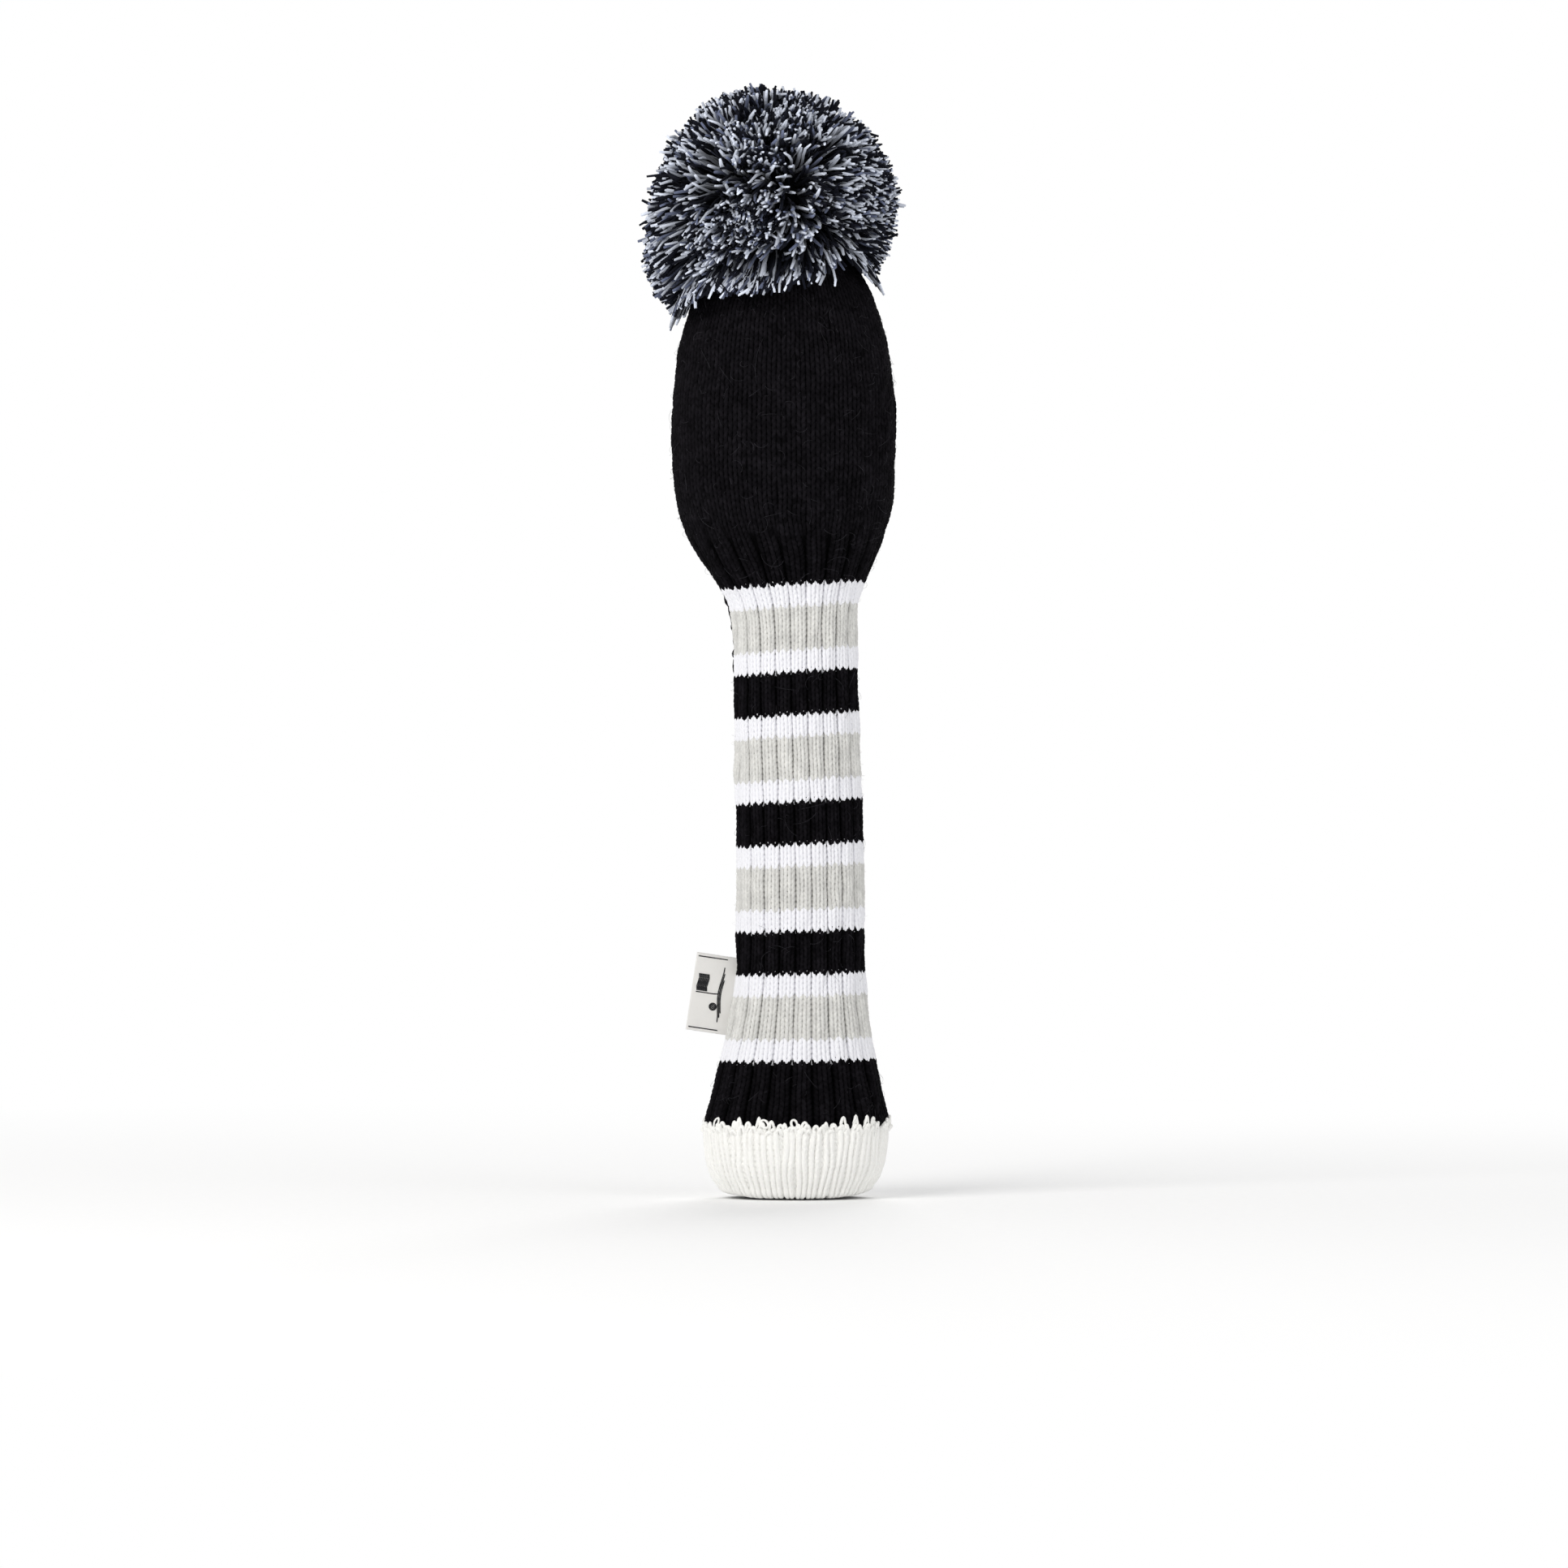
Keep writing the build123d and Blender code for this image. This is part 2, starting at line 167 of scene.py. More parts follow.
class CoverColours(bpy.types.PropertyGroup):
    """Yarn, ribbon, lining and elastic colours."""

    black: colour_property("Black yarn", "Body, bands and flare", (0.0094, 0.0084, 0.0104))
    # The loose black fibres are about five times lighter than the black yarn: painted sheen of light caught
    # in the fuzz.
    black_fibre_sheen: colour_property("Black fibres", "Loose fibres of the black yarn", (0.05, 0.048, 0.056))
    white: colour_property("White yarn", "White stripes", (0.81, 0.81, 0.845))
    grey: colour_property("Grey yarn", "Pale grey stripes", (0.69, 0.685, 0.66))
    cuff: colour_property("Cuff yarn", "Warm white cuff", (0.88, 0.875, 0.85))
    pale_strand: colour_property("Pale strands", "Pale pom-pom yarn", (0.81, 0.865, 1.0))
    black_strand: colour_property("Black strands", "Black pom-pom yarn", (0.005, 0.006, 0.013))
    grey_strand: colour_property("Grey strands", "Grey pom-pom yarn", (0.145, 0.17, 0.27))
    ribbon: colour_property("Ribbon", "Label ribbon", (0.93, 0.915, 0.885))
    thread: colour_property("Thread", "Stitching on the label", (0.012, 0.012, 0.014))
    lining: colour_property("Lining", "Fleece in the neck and the head pocket", (0.035, 0.035, 0.04))
    elastic: colour_property("Elastic", "Collar and the cuff's elastic", (0.05, 0.05, 0.055))


# ---------------------------------------------------------------- the sock's shape


def outside_rows(names, step=0.25 * MM, aside=6 * MM):
    """Height, middle, half width and half depth of the outside of these nodes, lowest first."""
    corners, faces, first = [], [], 0
    for name in names:
        mesh = frame["nodes"][name].data
        corners += [vertex.co.copy() for vertex in mesh.vertices]
        faces += [[first + corner for corner in face.vertices] for face in mesh.polygons]
        first = len(corners)
    surface = BVHTree.FromPolygons(corners, faces)
    low = min(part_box(name)[0].z for name in names)
    high = max(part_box(name)[1].z for name in names)
    rows = []

    def hit(x, y, height, way):
        """Where a level ray meets the nodes."""
        return surface.ray_cast(Vector((x, y, height)), Vector((*way, 0)))[0]

    for height in np.arange(low + 0.01 * MM, high, step):
        left, right = hit(-1, aside, height, (1, 0)), hit(1, aside, height, (-1, 0))
        if left is None or right is None:
            continue
        middle = (left.x + right.x) / 2
        near = hit(middle, -1, height, (0, 1))
        if near is None:
            continue
        share = math.sqrt(max(1 - (aside / near.y) ** 2, 0.05))
        rows.append((height, middle, (right.x - left.x) / 2 / share, -near.y))
    if not rows:
        raise ValueError(f"no outside found on {', '.join(names)}")
    return np.array(rows)


def even_rows(rows, spread=7.0):
    """The rows again at even steps along the fabric, with the flats between ovals rounded off."""
    along = np.concatenate([[0], np.cumsum(np.hypot(np.diff(rows[:, 0]), np.diff(rows[:, 2])))])
    steps = np.arange(0, along[-1], ROW_STEP)
    even = np.stack([np.interp(steps, along, rows[:, k]) for k in range(rows.shape[1])], axis=1)
    reach = int(3 * spread)
    kernel = np.exp(-0.5 * (np.arange(-reach, reach + 1) / spread) ** 2)
    kernel /= kernel.sum()
    before = 2 * even[0] - even[reach:0:-1]
    after = 2 * even[-1] - even[-2 : -reach - 2 : -1]
    padded = np.concatenate([before, even, after])
    return np.stack([np.convolve(padded[:, k], kernel, "valid") for k in range(rows.shape[1])], axis=1)


class Sleeve:
    """A tube of fabric, drawn by even rows along it and even columns round it.

    A turn of 0 is the seam on the -X side, 0.25 the front, 0.5 the +X side and 0.75 the back.
    """

    def __init__(self, rows, slant=None):
        angle = np.linspace(0, 2 * math.pi, OVAL_SAMPLES)
        even_turns = np.linspace(0, 1, COLUMNS + 1)
        self.points = np.empty((len(rows), COLUMNS + 1, 3))
        self.perimeter = np.empty(len(rows))
        for index, (height, middle, half_width, half_depth) in enumerate(rows):
            x = -half_width * np.cos(angle)
            y = -half_depth * np.sin(angle)
            length = np.concatenate([[0], np.cumsum(np.hypot(np.diff(x), np.diff(y)))])
            self.perimeter[index] = length[-1]
            across = np.interp(even_turns * length[-1], length, x)
            tilt = 0.0 if slant is None else slant(height) * across / half_width
            self.points[index, :, 0] = middle + across
            self.points[index, :, 1] = np.interp(even_turns * length[-1], length, y)
            self.points[index, :, 2] = height + tilt
        self.heights = rows[:, 0]
        wrapped = np.concatenate([self.points[:, -2:-1], self.points, self.points[:, 1:2]], axis=1)
        round_it = wrapped[:, 2:] - wrapped[:, :-2]
        along_it = np.gradient(self.points, axis=0)
        outwards = np.cross(round_it, along_it)
        self.normals = outwards / np.linalg.norm(outwards, axis=2, keepdims=True)

    @property
    def length(self):
        """Length of the fabric along the sock."""
        return (len(self.points) - 1) * ROW_STEP

    def along_at(self, height):
        """How far along the fabric a height lies."""
        return float(np.interp(height, self.heights, np.arange(len(self.heights)))) * ROW_STEP

    def rumple(self, depth, seed):
        """Let the fabric stand in and out of its ovals a little."""
        turns, heights = np.meshgrid(np.arange(COLUMNS + 1) / COLUMNS, self.heights)
        ring = np.stack([np.cos(turns * 2 * math.pi), np.sin(turns * 2 * math.pi)])
        swing = wander(seed, ring[0], ring[1] * 1.3, heights / (26 * MM)) + 0.6 * wander(
            seed + 1, ring[0] * 3, ring[1] * 2.4, heights / (11 * MM)
        )
        self.points += self.normals * (depth * swing)[..., None]

    def girth(self, along):
        """Length round the fabric, some way along it."""
        return np.interp(np.asarray(along) / ROW_STEP, np.arange(len(self.perimeter)), self.perimeter)

    def place(self, turn, along, out):
        """Points that stand out from the fabric, and the way out of it there."""
        column = np.mod(turn, 1.0) * COLUMNS
        row = np.clip(along / ROW_STEP, 0, len(self.points) - 1.001)
        i, j = row.astype(int), np.minimum(column.astype(int), COLUMNS - 1)
        a, b = (row - i)[..., None], (column - j)[..., None]

        def blended(grid):
            low = grid[i, j] * (1 - b) + grid[i, j + 1] * b
            high = grid[i + 1, j] * (1 - b) + grid[i + 1, j + 1] * b
            return low * (1 - a) + high * a

        normal = blended(self.normals)
        return blended(self.points) + normal * np.asarray(out)[..., None], normal


def smooth_step(low, high, value):
    """0 below low, 1 above high, and an even curve between."""
    share = np.clip((value - low) / (high - low), 0, 1)
    return share * share * (3 - 2 * share)


def wander(seed, *ways):
    """Slow, even wandering between -1 and 1 of one or more coordinates."""
    draw = np.random.default_rng(seed)
    total = 0.0
    for _ in range(4):
        phase = draw.uniform(0, 2 * math.pi)
        total = total + np.sin(sum(w * draw.uniform(0.4, 1.6) for w in ways) * 2 * math.pi + phase)
    return total / 4


# ---------------------------------------------------------------- meshes


def new_piece(name, points, faces, shade_and_tone=None, smooth=True):
    """A mesh object from arrays of points and of faces, each face array of one length of corner."""
    mesh = bpy.data.meshes.new(name)
    mesh.vertices.add(len(points))
    mesh.vertices.foreach_set("co", np.asarray(points, np.float32).ravel())
    corners = np.concatenate([face.ravel() for face in faces]).astype(np.int32)
    sizes = np.concatenate([np.full(len(face), face.shape[1]) for face in faces])
    starts = np.concatenate([[0], np.cumsum(sizes)[:-1]]).astype(np.int32)
    mesh.loops.add(len(corners))
    mesh.loops.foreach_set("vertex_index", corners)
    mesh.polygons.add(len(sizes))
    mesh.polygons.foreach_set("loop_start", starts)
    mesh.update(calc_edges=True)
    mesh.validate()
    if smooth:
        mesh.shade_smooth()
    # The point attribute written here is painted shade: at 0 the yarn takes its painted shade colour, at 1
    # its full colour; some pieces fold a random tone into it.
    if shade_and_tone is not None:
        mesh.attributes.new("shade_and_tone", "FLOAT", "POINT").data.foreach_set("value", shade_and_tone.astype(np.float32))
    piece = bpy.data.objects.new(name, mesh)
    bpy.context.scene.collection.objects.link(piece)
    return piece


def tube_skin(path, normal, radius, sides, closed, ply=0.0, lead=0.0):
    """Points and faces of round yarns. path and normal are (yarns, points, 3), radius (yarns, points)."""
    yarns, count = path.shape[:2]
    if closed:
        forward = np.roll(path, -1, axis=1) - np.roll(path, 1, axis=1)
    else:
        forward = np.gradient(path, axis=1)
    forward /= np.linalg.norm(forward, axis=2, keepdims=True) + 1e-12
    side = np.cross(forward, normal)
    side /= np.linalg.norm(side, axis=2, keepdims=True) + 1e-12
    up = np.cross(side, forward)
    angle = np.arange(sides) * 2 * math.pi / sides
    twist = lead * np.arange(count)[None, :, None]
    swell = 1 + ply * np.cos(2 * angle[None, None, :] + twist)
    across = side[:, :, None] * np.cos(angle)[None, None, :, None]
    ring = across + up[:, :, None] * np.sin(angle)[None, None, :, None]
    points = path[:, :, None] + ring * (radius[:, :, None] * swell)[..., None]
    index = np.arange(yarns * count * sides).reshape(yarns, count, sides)
    low, high = (index, np.roll(index, -1, axis=1)) if closed else (index[:, :-1], index[:, 1:])
    quads = np.stack([low, np.roll(low, -1, axis=2), np.roll(high, -1, axis=2), high], axis=-1).reshape(-1, 4)
    faces = [quads]
    if not closed:
        faces += [index[:, 0, ::-1], index[:, -1, :]]
    return points.reshape(-1, 3), faces


def joined(skins):
    """Several skins as one: points, faces and the painted shade and tone of each point."""
    points, shades_and_tones, faces, first = [], [], {}, 0
    for skin_points, skin_faces, shade_and_tone in skins:
        points.append(skin_points)
        shades_and_tones.append(np.broadcast_to(shade_and_tone, len(skin_points)))
        for face in skin_faces:
            faces.setdefault(face.shape[1], []).append(face + first)
        first += len(skin_points)
    return np.concatenate(points), [np.concatenate(found) for found in faces.values()], np.concatenate(shades_and_tones)


def sheet_skin(grid):
    """Points and faces of a grid of points, (rows, columns, 3), joined round its columns."""
    rows, columns = grid.shape[:2]
    here = np.arange(rows * columns).reshape(rows, columns)
    ahead = np.roll(here, -1, axis=1)
    quads = np.stack([here[:-1], ahead[:-1], ahead[1:], here[1:]], axis=-1).reshape(-1, 4)
    return grid.reshape(-1, 3), [quads]


# ---------------------------------------------------------------- knitting


def rib_strength(along, taper):
    """1 where the sock is ribbed, 0 on the plain body, and between them in the taper."""
    rise = taper[1] - taper[0]
    return 1 - smooth_step(taper[0] + 0.4 * rise, taper[1] + 0.3 * rise, along)


def rib_hollow(place, centre, strength, depth):
    """How far the fabric lies in at a place across a rib: a dip along its middle, and a groove beside it."""
    away = np.abs(np.mod(place - centre + 0.5, 1.0) - 0.5) * 2
    dip = 0.2 * MM * np.exp(-((away / 0.12) ** 2))
    return -strength * (depth * (0.15 * away**2 + 0.85 * away**5) + dip)


def loop_swing():
    """Even angles along one loop of yarn, set across courses, columns and wales."""
    return np.linspace(0, 2 * math.pi, LOOP_POINTS, endpoint=False)[None, None, None, :]


def knit_band(sleeve, low, high, course, taper, habit, seed):
    """Skins of the yarns of one band of the sock, with the fabric behind them."""
    sizes = bpy.context.scene.knit_sizes
    ribs = sizes.ribs
    number = max(2, round((high - low) / course))
    pitch = (high - low) / number
    centres = low + pitch * (np.arange(number) + 0.5)
    centres = centres[sleeve.girth(centres) > SLIMMEST_GIRTH]
    strength = rib_strength(centres, taper)[:, None, None, None]
    knit = (1 - strength) / 3 + strength * (1 - sizes.groove) / 2
    widths = np.concatenate([knit, knit, 1 - 2 * knit], axis=2)
    starts = np.concatenate([0 * knit, knit, 2 * knit], axis=2)
    purl = np.array([0, 0, 1.0])[None, None, :, None] * strength
    swing = loop_swing()
    local = starts + widths * (swing / (2 * math.pi) + 0.19 * (1 - purl) * np.sin(2 * swing))
    rib = np.arange(ribs)[None, :, None, None]
    rise = -np.cos(swing) * pitch * 1.02 * (1 - 0.4 * purl)
    wale = sleeve.girth(centres)[:, None, None, None] / ribs * knit
    lift = -np.cos(2 * swing) * 0.12 * wale * (1 - 1.5 * purl)
    turn = (rib + local) / ribs
    along = centres[:, None, None, None] + rise
    turn, along, lift = np.broadcast_arrays(turn, along, lift)
    radius = np.broadcast_to(sizes.yarn_share * habit.plump * wale, turn.shape).reshape(len(centres), -1)
    shape = (len(centres), -1)
    turn, along, lift = turn.reshape(shape), along.reshape(shape), lift.reshape(shape)
    ease = wander(seed, turn * 9, along / (30 * MM))
    turn = turn + 0.0016 * wander(seed + 1, np.floor(turn * ribs) * 0.37, along / (22 * MM))
    hollow = rib_hollow(turn * ribs, knit[:, :, 0, 0], strength[:, :, 0, 0], sizes.rib_depth)
    top = 0.3 * MM
    out = top - 0.12 * wale.reshape(-1, 1) - radius + lift + hollow + 0.12 * MM * ease
    path, normal = sleeve.place(turn, along + 0.1 * MM * wander(seed + 2, turn * 14, along * 60), out)
    points, faces = tube_skin(path, normal, radius * (1 + 0.05 * ease), YARN_SIDES, True, ply=0.07, lead=0.9)
    # Painted shade: the yarn darkens with how deep it lies and towards the grooves between ribs; the tone
    # drawn per loop and per point is the yarn's own random tone.
    depth = (out + radius - top) / (4.5 * MM)
    draw = np.random.default_rng(seed)
    loops = np.repeat(draw.random((len(centres), ribs * 3)), swing.size, axis=1)
    tone = 1 - habit.uneven_and_shade * (0.35 * loops + 0.65 * draw.random(turn.shape))
    # Painted shade in the grooves beside the ribs.
    away = np.abs(np.mod(turn * ribs - knit[:, :, 0, 0] + 0.5, 1.0) - 0.5) * 2
    groove = 0.7 * habit.uneven_and_shade * strength[:, :, 0, 0] * away**3
    shade_and_tone = np.clip(1 + depth * (0.4 + 4.5 * habit.uneven_and_shade) - groove, 0.08, 1) * tone
    shade_and_tone = np.repeat(shade_and_tone.reshape(-1), YARN_SIDES)
    return [(points, faces, shade_and_tone), backing_skin(sleeve, low, high, taper, sizes)]


def fibre_skin(sleeve, low, high, length, label, seed):
    """Loose fibres that curl out of the yarn, none of them under the label."""
    draw = np.random.default_rng(seed)
    area = (high - low) * float(sleeve.girth((low + high) / 2))
    number = int(area / bpy.context.scene.knit_sizes.fibre_area)
    share = np.linspace(0, 1, 9)[None]
    root, start = draw.random((number, 1)), draw.uniform(low, high, (number, 1))
    clear = (np.abs(root - 0.5) < 0.42) | (start < label[0] - 6 * MM) | (start > label[1] + 6 * MM)
    root, start = root[clear[:, 0]], start[clear[:, 0]]
    number = len(root)
    heading = draw.uniform(0, 2 * math.pi, (number, 1)) + draw.normal(0, 1.8, (number, 1)) * share
    step = draw.gamma(3.0, length / 3, (number, 1)) / 8
    turn = root + np.cumsum(np.cos(heading) * step, axis=1) / sleeve.girth(start)
    along = start + np.cumsum(np.sin(heading) * step, axis=1)
    out = -0.5 * MM + draw.uniform(0.7, 1.9, (number, 1)) * MM * np.sin(share * 2.8)
    path, normal = sleeve.place(turn, along, out)
    thick = np.broadcast_to(0.048 * MM * (1 - 0.5 * share), turn.shape)
    points, faces = tube_skin(path, normal, thick, 3, False)
    return points, faces, 1.0


def backing_skin(sleeve, low, high, taper, sizes):
    """The fabric behind the loops, a closed ring that follows the ribs, coloured wholly in painted shade."""
    columns = sizes.ribs * 12
    rows = max(3, int((high - low) / (3 * MM)) + 1)
    along = np.linspace(low, high, rows)
    turn = np.arange(columns) / columns
    turns, alongs = np.meshgrid(turn, along)
    strength = rib_strength(alongs, taper)
    centre = (1 - strength) / 3 + strength * (1 - sizes.groove) / 2
    hollow = rib_hollow(turns * sizes.ribs, centre, strength, sizes.rib_depth)
    front, _ = sleeve.place(turns, alongs, -1.05 * MM + hollow * 0.8)
    back, _ = sleeve.place(turns, alongs, np.full_like(turns, -3.1 * MM))
    loop = np.concatenate([front, back[::-1], front[:1]])
    points, faces = sheet_skin(loop)
    # 0: the painted shade colour all over.
    return points, faces, 0.0


def cuff_sleeve():
    """The cuff's fabric: up the inside, round the fold and up the outside to the linking."""
    rows = outside_rows(["cuff"])
    rows = rows[rows[:, 2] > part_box("cuff")[1].x * 0.7]
    wall, fold = 6.0 * MM, 3.0 * MM
    heights = np.linspace(fold, rows[-1, 0] - 1.9 * MM, 40)
    outside = np.stack([heights, *[np.interp(heights, rows[:, 0], rows[:, k]) for k in (1, 2, 3)]], axis=1)
    inside = outside[::-1].copy()
    inside[:, 2:] -= wall
    inside = inside[inside[:, 0] < rows[-1, 0] - 2 * MM]
    bend = np.linspace(0, math.pi, 12)[1:-1]
    foot = outside[0].copy()
    turned = np.repeat(foot[None], len(bend), axis=0)
    turned[:, 0] = fold - (fold - 0.4 * MM) * np.sin(bend)
    turned[:, 2:] += (-wall / 2 - wall / 2 * np.cos(bend))[:, None]
    path = np.concatenate([inside, turned, outside])
    along = np.concatenate([[0], np.cumsum(np.hypot(np.diff(path[:, 0]), np.diff(path[:, 2])))])
    steps = np.arange(0, along[-1], ROW_STEP)
    even = np.stack([np.interp(steps, along, path[:, k]) for k in range(4)], axis=1)
    sleeve = Sleeve(even)
    across = (sleeve.points[..., 0] - even[:, None, 1]) / even[:, None, 2]
    sleeve.points[..., 2] += 1.7 * MM * across**4 * (1 - smooth_step(0, 9 * MM, even[:, None, 0]))
    return sleeve, along[-1]


def knit_cuff(sleeve, pitch, courses, seed=40):
    """Skins of some courses of the ribbed cuff, which runs all the way round its fold."""
    sizes = bpy.context.scene.knit_sizes
    columns = sizes.cuff_columns
    centres = pitch * (courses + 0.5)
    swing = loop_swing()
    knit = 0.86
    starts = np.array([0, knit])[None, None, :, None]
    widths = np.array([knit, 1 - knit])[None, None, :, None]
    purl = np.array([0, 1.0])[None, None, :, None]
    local = starts + widths * (swing / (2 * math.pi) + 0.17 * (1 - purl) * np.sin(2 * swing))
    column = np.arange(columns)[None, :, None, None]
    along = centres[:, None, None, None] - np.cos(swing) * pitch * 1.35 * (1 - 0.4 * purl)
    wale = sleeve.girth(centres)[:, None, None, None] / columns * knit
    lift = -np.cos(2 * swing) * 0.05 * wale * (1 - purl)
    turn, along, lift, radius = np.broadcast_arrays((column + local) / columns, along, lift, 0.235 * wale)
    shape = (len(centres), -1)
    turn, along, lift, radius = (a.reshape(shape) for a in (turn, along, lift, radius))
    sway = wander(seed, np.floor(turn * columns) * 0.61, along / (30 * MM))
    hollow = rib_hollow(turn * columns, knit / 2, 1.0, sizes.cuff_depth)
    ease = wander(seed + 1, turn * 8, along / (18 * MM))
    out = 0.1 * MM - radius + lift + hollow + 0.25 * MM * ease
    path, normal = sleeve.place(turn + 0.004 * sway, along, out)
    points, faces = tube_skin(path, normal, radius * (1 + 0.06 * ease), YARN_SIDES, True, ply=0.06, lead=0.7)
    # Painted shade: the cuff's loops darken with how deep they lie.
    shade_and_tone = np.repeat(np.clip(1 + (out + radius) / (1.9 * MM), 0, 1).reshape(-1), YARN_SIDES)
    loops = (points, faces, shade_and_tone)
    rows = np.linspace(centres[0] - 0.7 * pitch, centres[-1] + 0.7 * pitch, 2 * len(centres) + 2)
    turns, alongs = np.meshgrid(np.arange(columns * 18) / (columns * 18), rows)
    sway = wander(seed, np.floor(turns * columns) * 0.61, alongs / (30 * MM))
    hollow = rib_hollow(turns * columns, knit / 2, 1.0, sizes.cuff_depth)
    leg = np.mod(turns * columns, 1.0) / knit * 2
    between = np.where(leg < 2, np.abs(np.sin(np.clip(leg, 0, 2) * math.pi)) ** 0.5, 0)
    front, _ = sleeve.place(turns + 0.004 * sway, alongs, -0.55 * MM + 0.65 * MM * between + hollow)
    back, _ = sleeve.place(turns, alongs, np.full_like(turns, -2.1 * MM))
    points, faces = sheet_skin(np.concatenate([front, back[::-1], front[:1]]))
    # Painted shade: the fabric behind the loops is darkened, most on its hidden back and in the grooves
    # beside the legs.
    shades_and_tones = 0.55 + 0.4 * np.concatenate([between, 0 * between, between[:1]])
    return [loops, (points, faces, shades_and_tones.reshape(-1))]


# ---------------------------------------------------------------- materials


def add_node(tree, kind, links=None, **values):
    """A node with its inputs set, or linked where the value is a socket."""
    node = tree.nodes.new(kind)
    for key, value in values.items():
        setattr(node, key, value)
    for key, value in (links or {}).items():
        socket = node.inputs[key]
        if isinstance(value, bpy.types.NodeSocket):
            tree.links.new(value, socket)
        else:
            socket.default_value = value
    return node


def maths(tree, operation, *values):
    """The outcome of a maths node on these values and sockets."""
    return add_node(tree, "ShaderNodeMath", dict(enumerate(values)), operation=operation).outputs[0]


def mixed_colour(tree, share, none, full):
    """The colour between two colours at a share of the way."""
    links = {"Factor": share, "A": none, "B": full}
    return add_node(tree, "ShaderNodeMix", links, data_type="RGBA").outputs["Result"]


def map_range(tree, value, low, high, start=0.0, end=1.0):
    """The value between start and end, spread between low and high."""
    links = {"Value": value, "From Min": start, "From Max": end, "To Min": low, "To Max": high}
    return add_node(tree, "ShaderNodeMapRange", links).outputs[0]


def start_group(name, inputs):
    """An empty node group with these inputs, its given sockets, and the node its results go into."""
    group = bpy.data.node_groups.new(name, "ShaderNodeTree")
    for label, kind, default in inputs:
        socket = group.interface.new_socket(name=label, in_out="INPUT", socket_type=kind)
        socket.default_value = default
    for label in ("Colour", "Roughness", "Height"):
        kind = "NodeSocketColor" if label == "Colour" else "NodeSocketFloat"
        group.interface.new_socket(name=label, in_out="OUTPUT", socket_type=kind)
    return group, group.nodes.new("NodeGroupInput").outputs, group.nodes.new("NodeGroupOutput")


def finish_group(group, result, colour, roughness, height):
    """The group, with its three results linked."""
    for label, socket in (("Colour", colour), ("Roughness", roughness), ("Height", height)):
        group.links.new(socket, result.inputs[label])
    return group


def yarn_group():
    """Spun yarn: darker where it lies deep, as painted shade, mottled along its fibres, with fine hairs for a
    bump.
    """
    name = "Spun yarn"
    if name in bpy.data.node_groups:
        return bpy.data.node_groups[name]
    inputs = [
        ("Colour", "NodeSocketColor", (0.8, 0.8, 0.8, 1)),
        # Deep colour is the painted shade colour of gaps and deep-lying yarn.
        ("Deep colour", "NodeSocketColor", (0.3, 0.3, 0.3, 1)),
        ("Mottle", "NodeSocketFloat", 0.15),
        ("Fibre scale", "NodeSocketFloat", 900.0),
    ]
    group, given, result = start_group(name, inputs)
    place = add_node(group, "ShaderNodeTexCoord").outputs["Object"]
    # This attribute is painted shade and random tone, written with each piece.
    shade_and_tone = add_node(group, "ShaderNodeAttribute", attribute_name="shade_and_tone").outputs["Fac"]
    links = {"Vector": place, "Scale": given["Fibre scale"], "Detail": 3.0}
    fibres = add_node(group, "ShaderNodeTexNoise", links).outputs["Fac"]
    links = {"Vector": place, "Scale": 240.0, "Detail": 2.0}
    clouds = add_node(group, "ShaderNodeTexNoise", links).outputs["Fac"]
    # Painted shade: the colour falls towards the Deep colour as the attribute falls.
    depth = mixed_colour(group, maths(group, "POWER", shade_and_tone, 0.8), given["Deep colour"], given["Colour"])
    off = maths(group, "ADD", maths(group, "ADD", fibres, clouds), -1.0)
    scaled = maths(group, "MULTIPLY_ADD", off, given["Mottle"], 1.0)
    shaded = add_node(group, "ShaderNodeVectorMath", {0: depth, "Scale": scaled}, operation="SCALE")
    return finish_group(group, result, shaded.outputs[0], map_range(group, fibres, 0.72, 0.98), fibres)


def weave_group():
    """Plain weave: ribs of weft over warp, as height, roughness and a colour that falls to painted shade in
    the gaps between threads.
    """
    name = "Plain weave"
    if name in bpy.data.node_groups:
        return bpy.data.node_groups[name]
    inputs = [
        ("Colour", "NodeSocketColor", (0.8, 0.8, 0.8, 1)),
        # Gap colour is the painted shade colour between threads.
        ("Gap colour", "NodeSocketColor", (0.4, 0.4, 0.4, 1)),
        ("Threads per metre", "NodeSocketFloat", 2200.0),
    ]
    group, given, result = start_group(name, inputs)
    place = add_node(group, "ShaderNodeTexCoord").outputs["Object"]
    parts = add_node(group, "ShaderNodeSeparateXYZ", {"Vector": place})
    waves = []
    for axis in ("Z", "X"):
        turns = maths(group, "MULTIPLY", parts.outputs[axis], given["Threads per metre"])
        wave = maths(group, "SINE", maths(group, "MULTIPLY", turns, math.pi))
        waves.append(maths(group, "ABSOLUTE", wave))
    crossed = maths(group, "MULTIPLY", *waves)
    links = {"Vector": place, "Scale": 400.0, "Detail": 4.0}
    # Noise that makes the height uneven, and with it the bump and how far the colour falls to the painted gap
    # shade; it also sets the roughness.
    weave_noise = add_node(group, "ShaderNodeTexNoise", links).outputs["Fac"]
    height = maths(group, "MULTIPLY_ADD", weave_noise, 0.4, crossed)
    # Painted shade: the colour falls to the gap colour where the threads dip.
    colour = mixed_colour(group, height, given["Gap colour"], given["Colour"])
    return finish_group(group, result, colour, map_range(group, weave_noise, 0.65, 0.9), height)


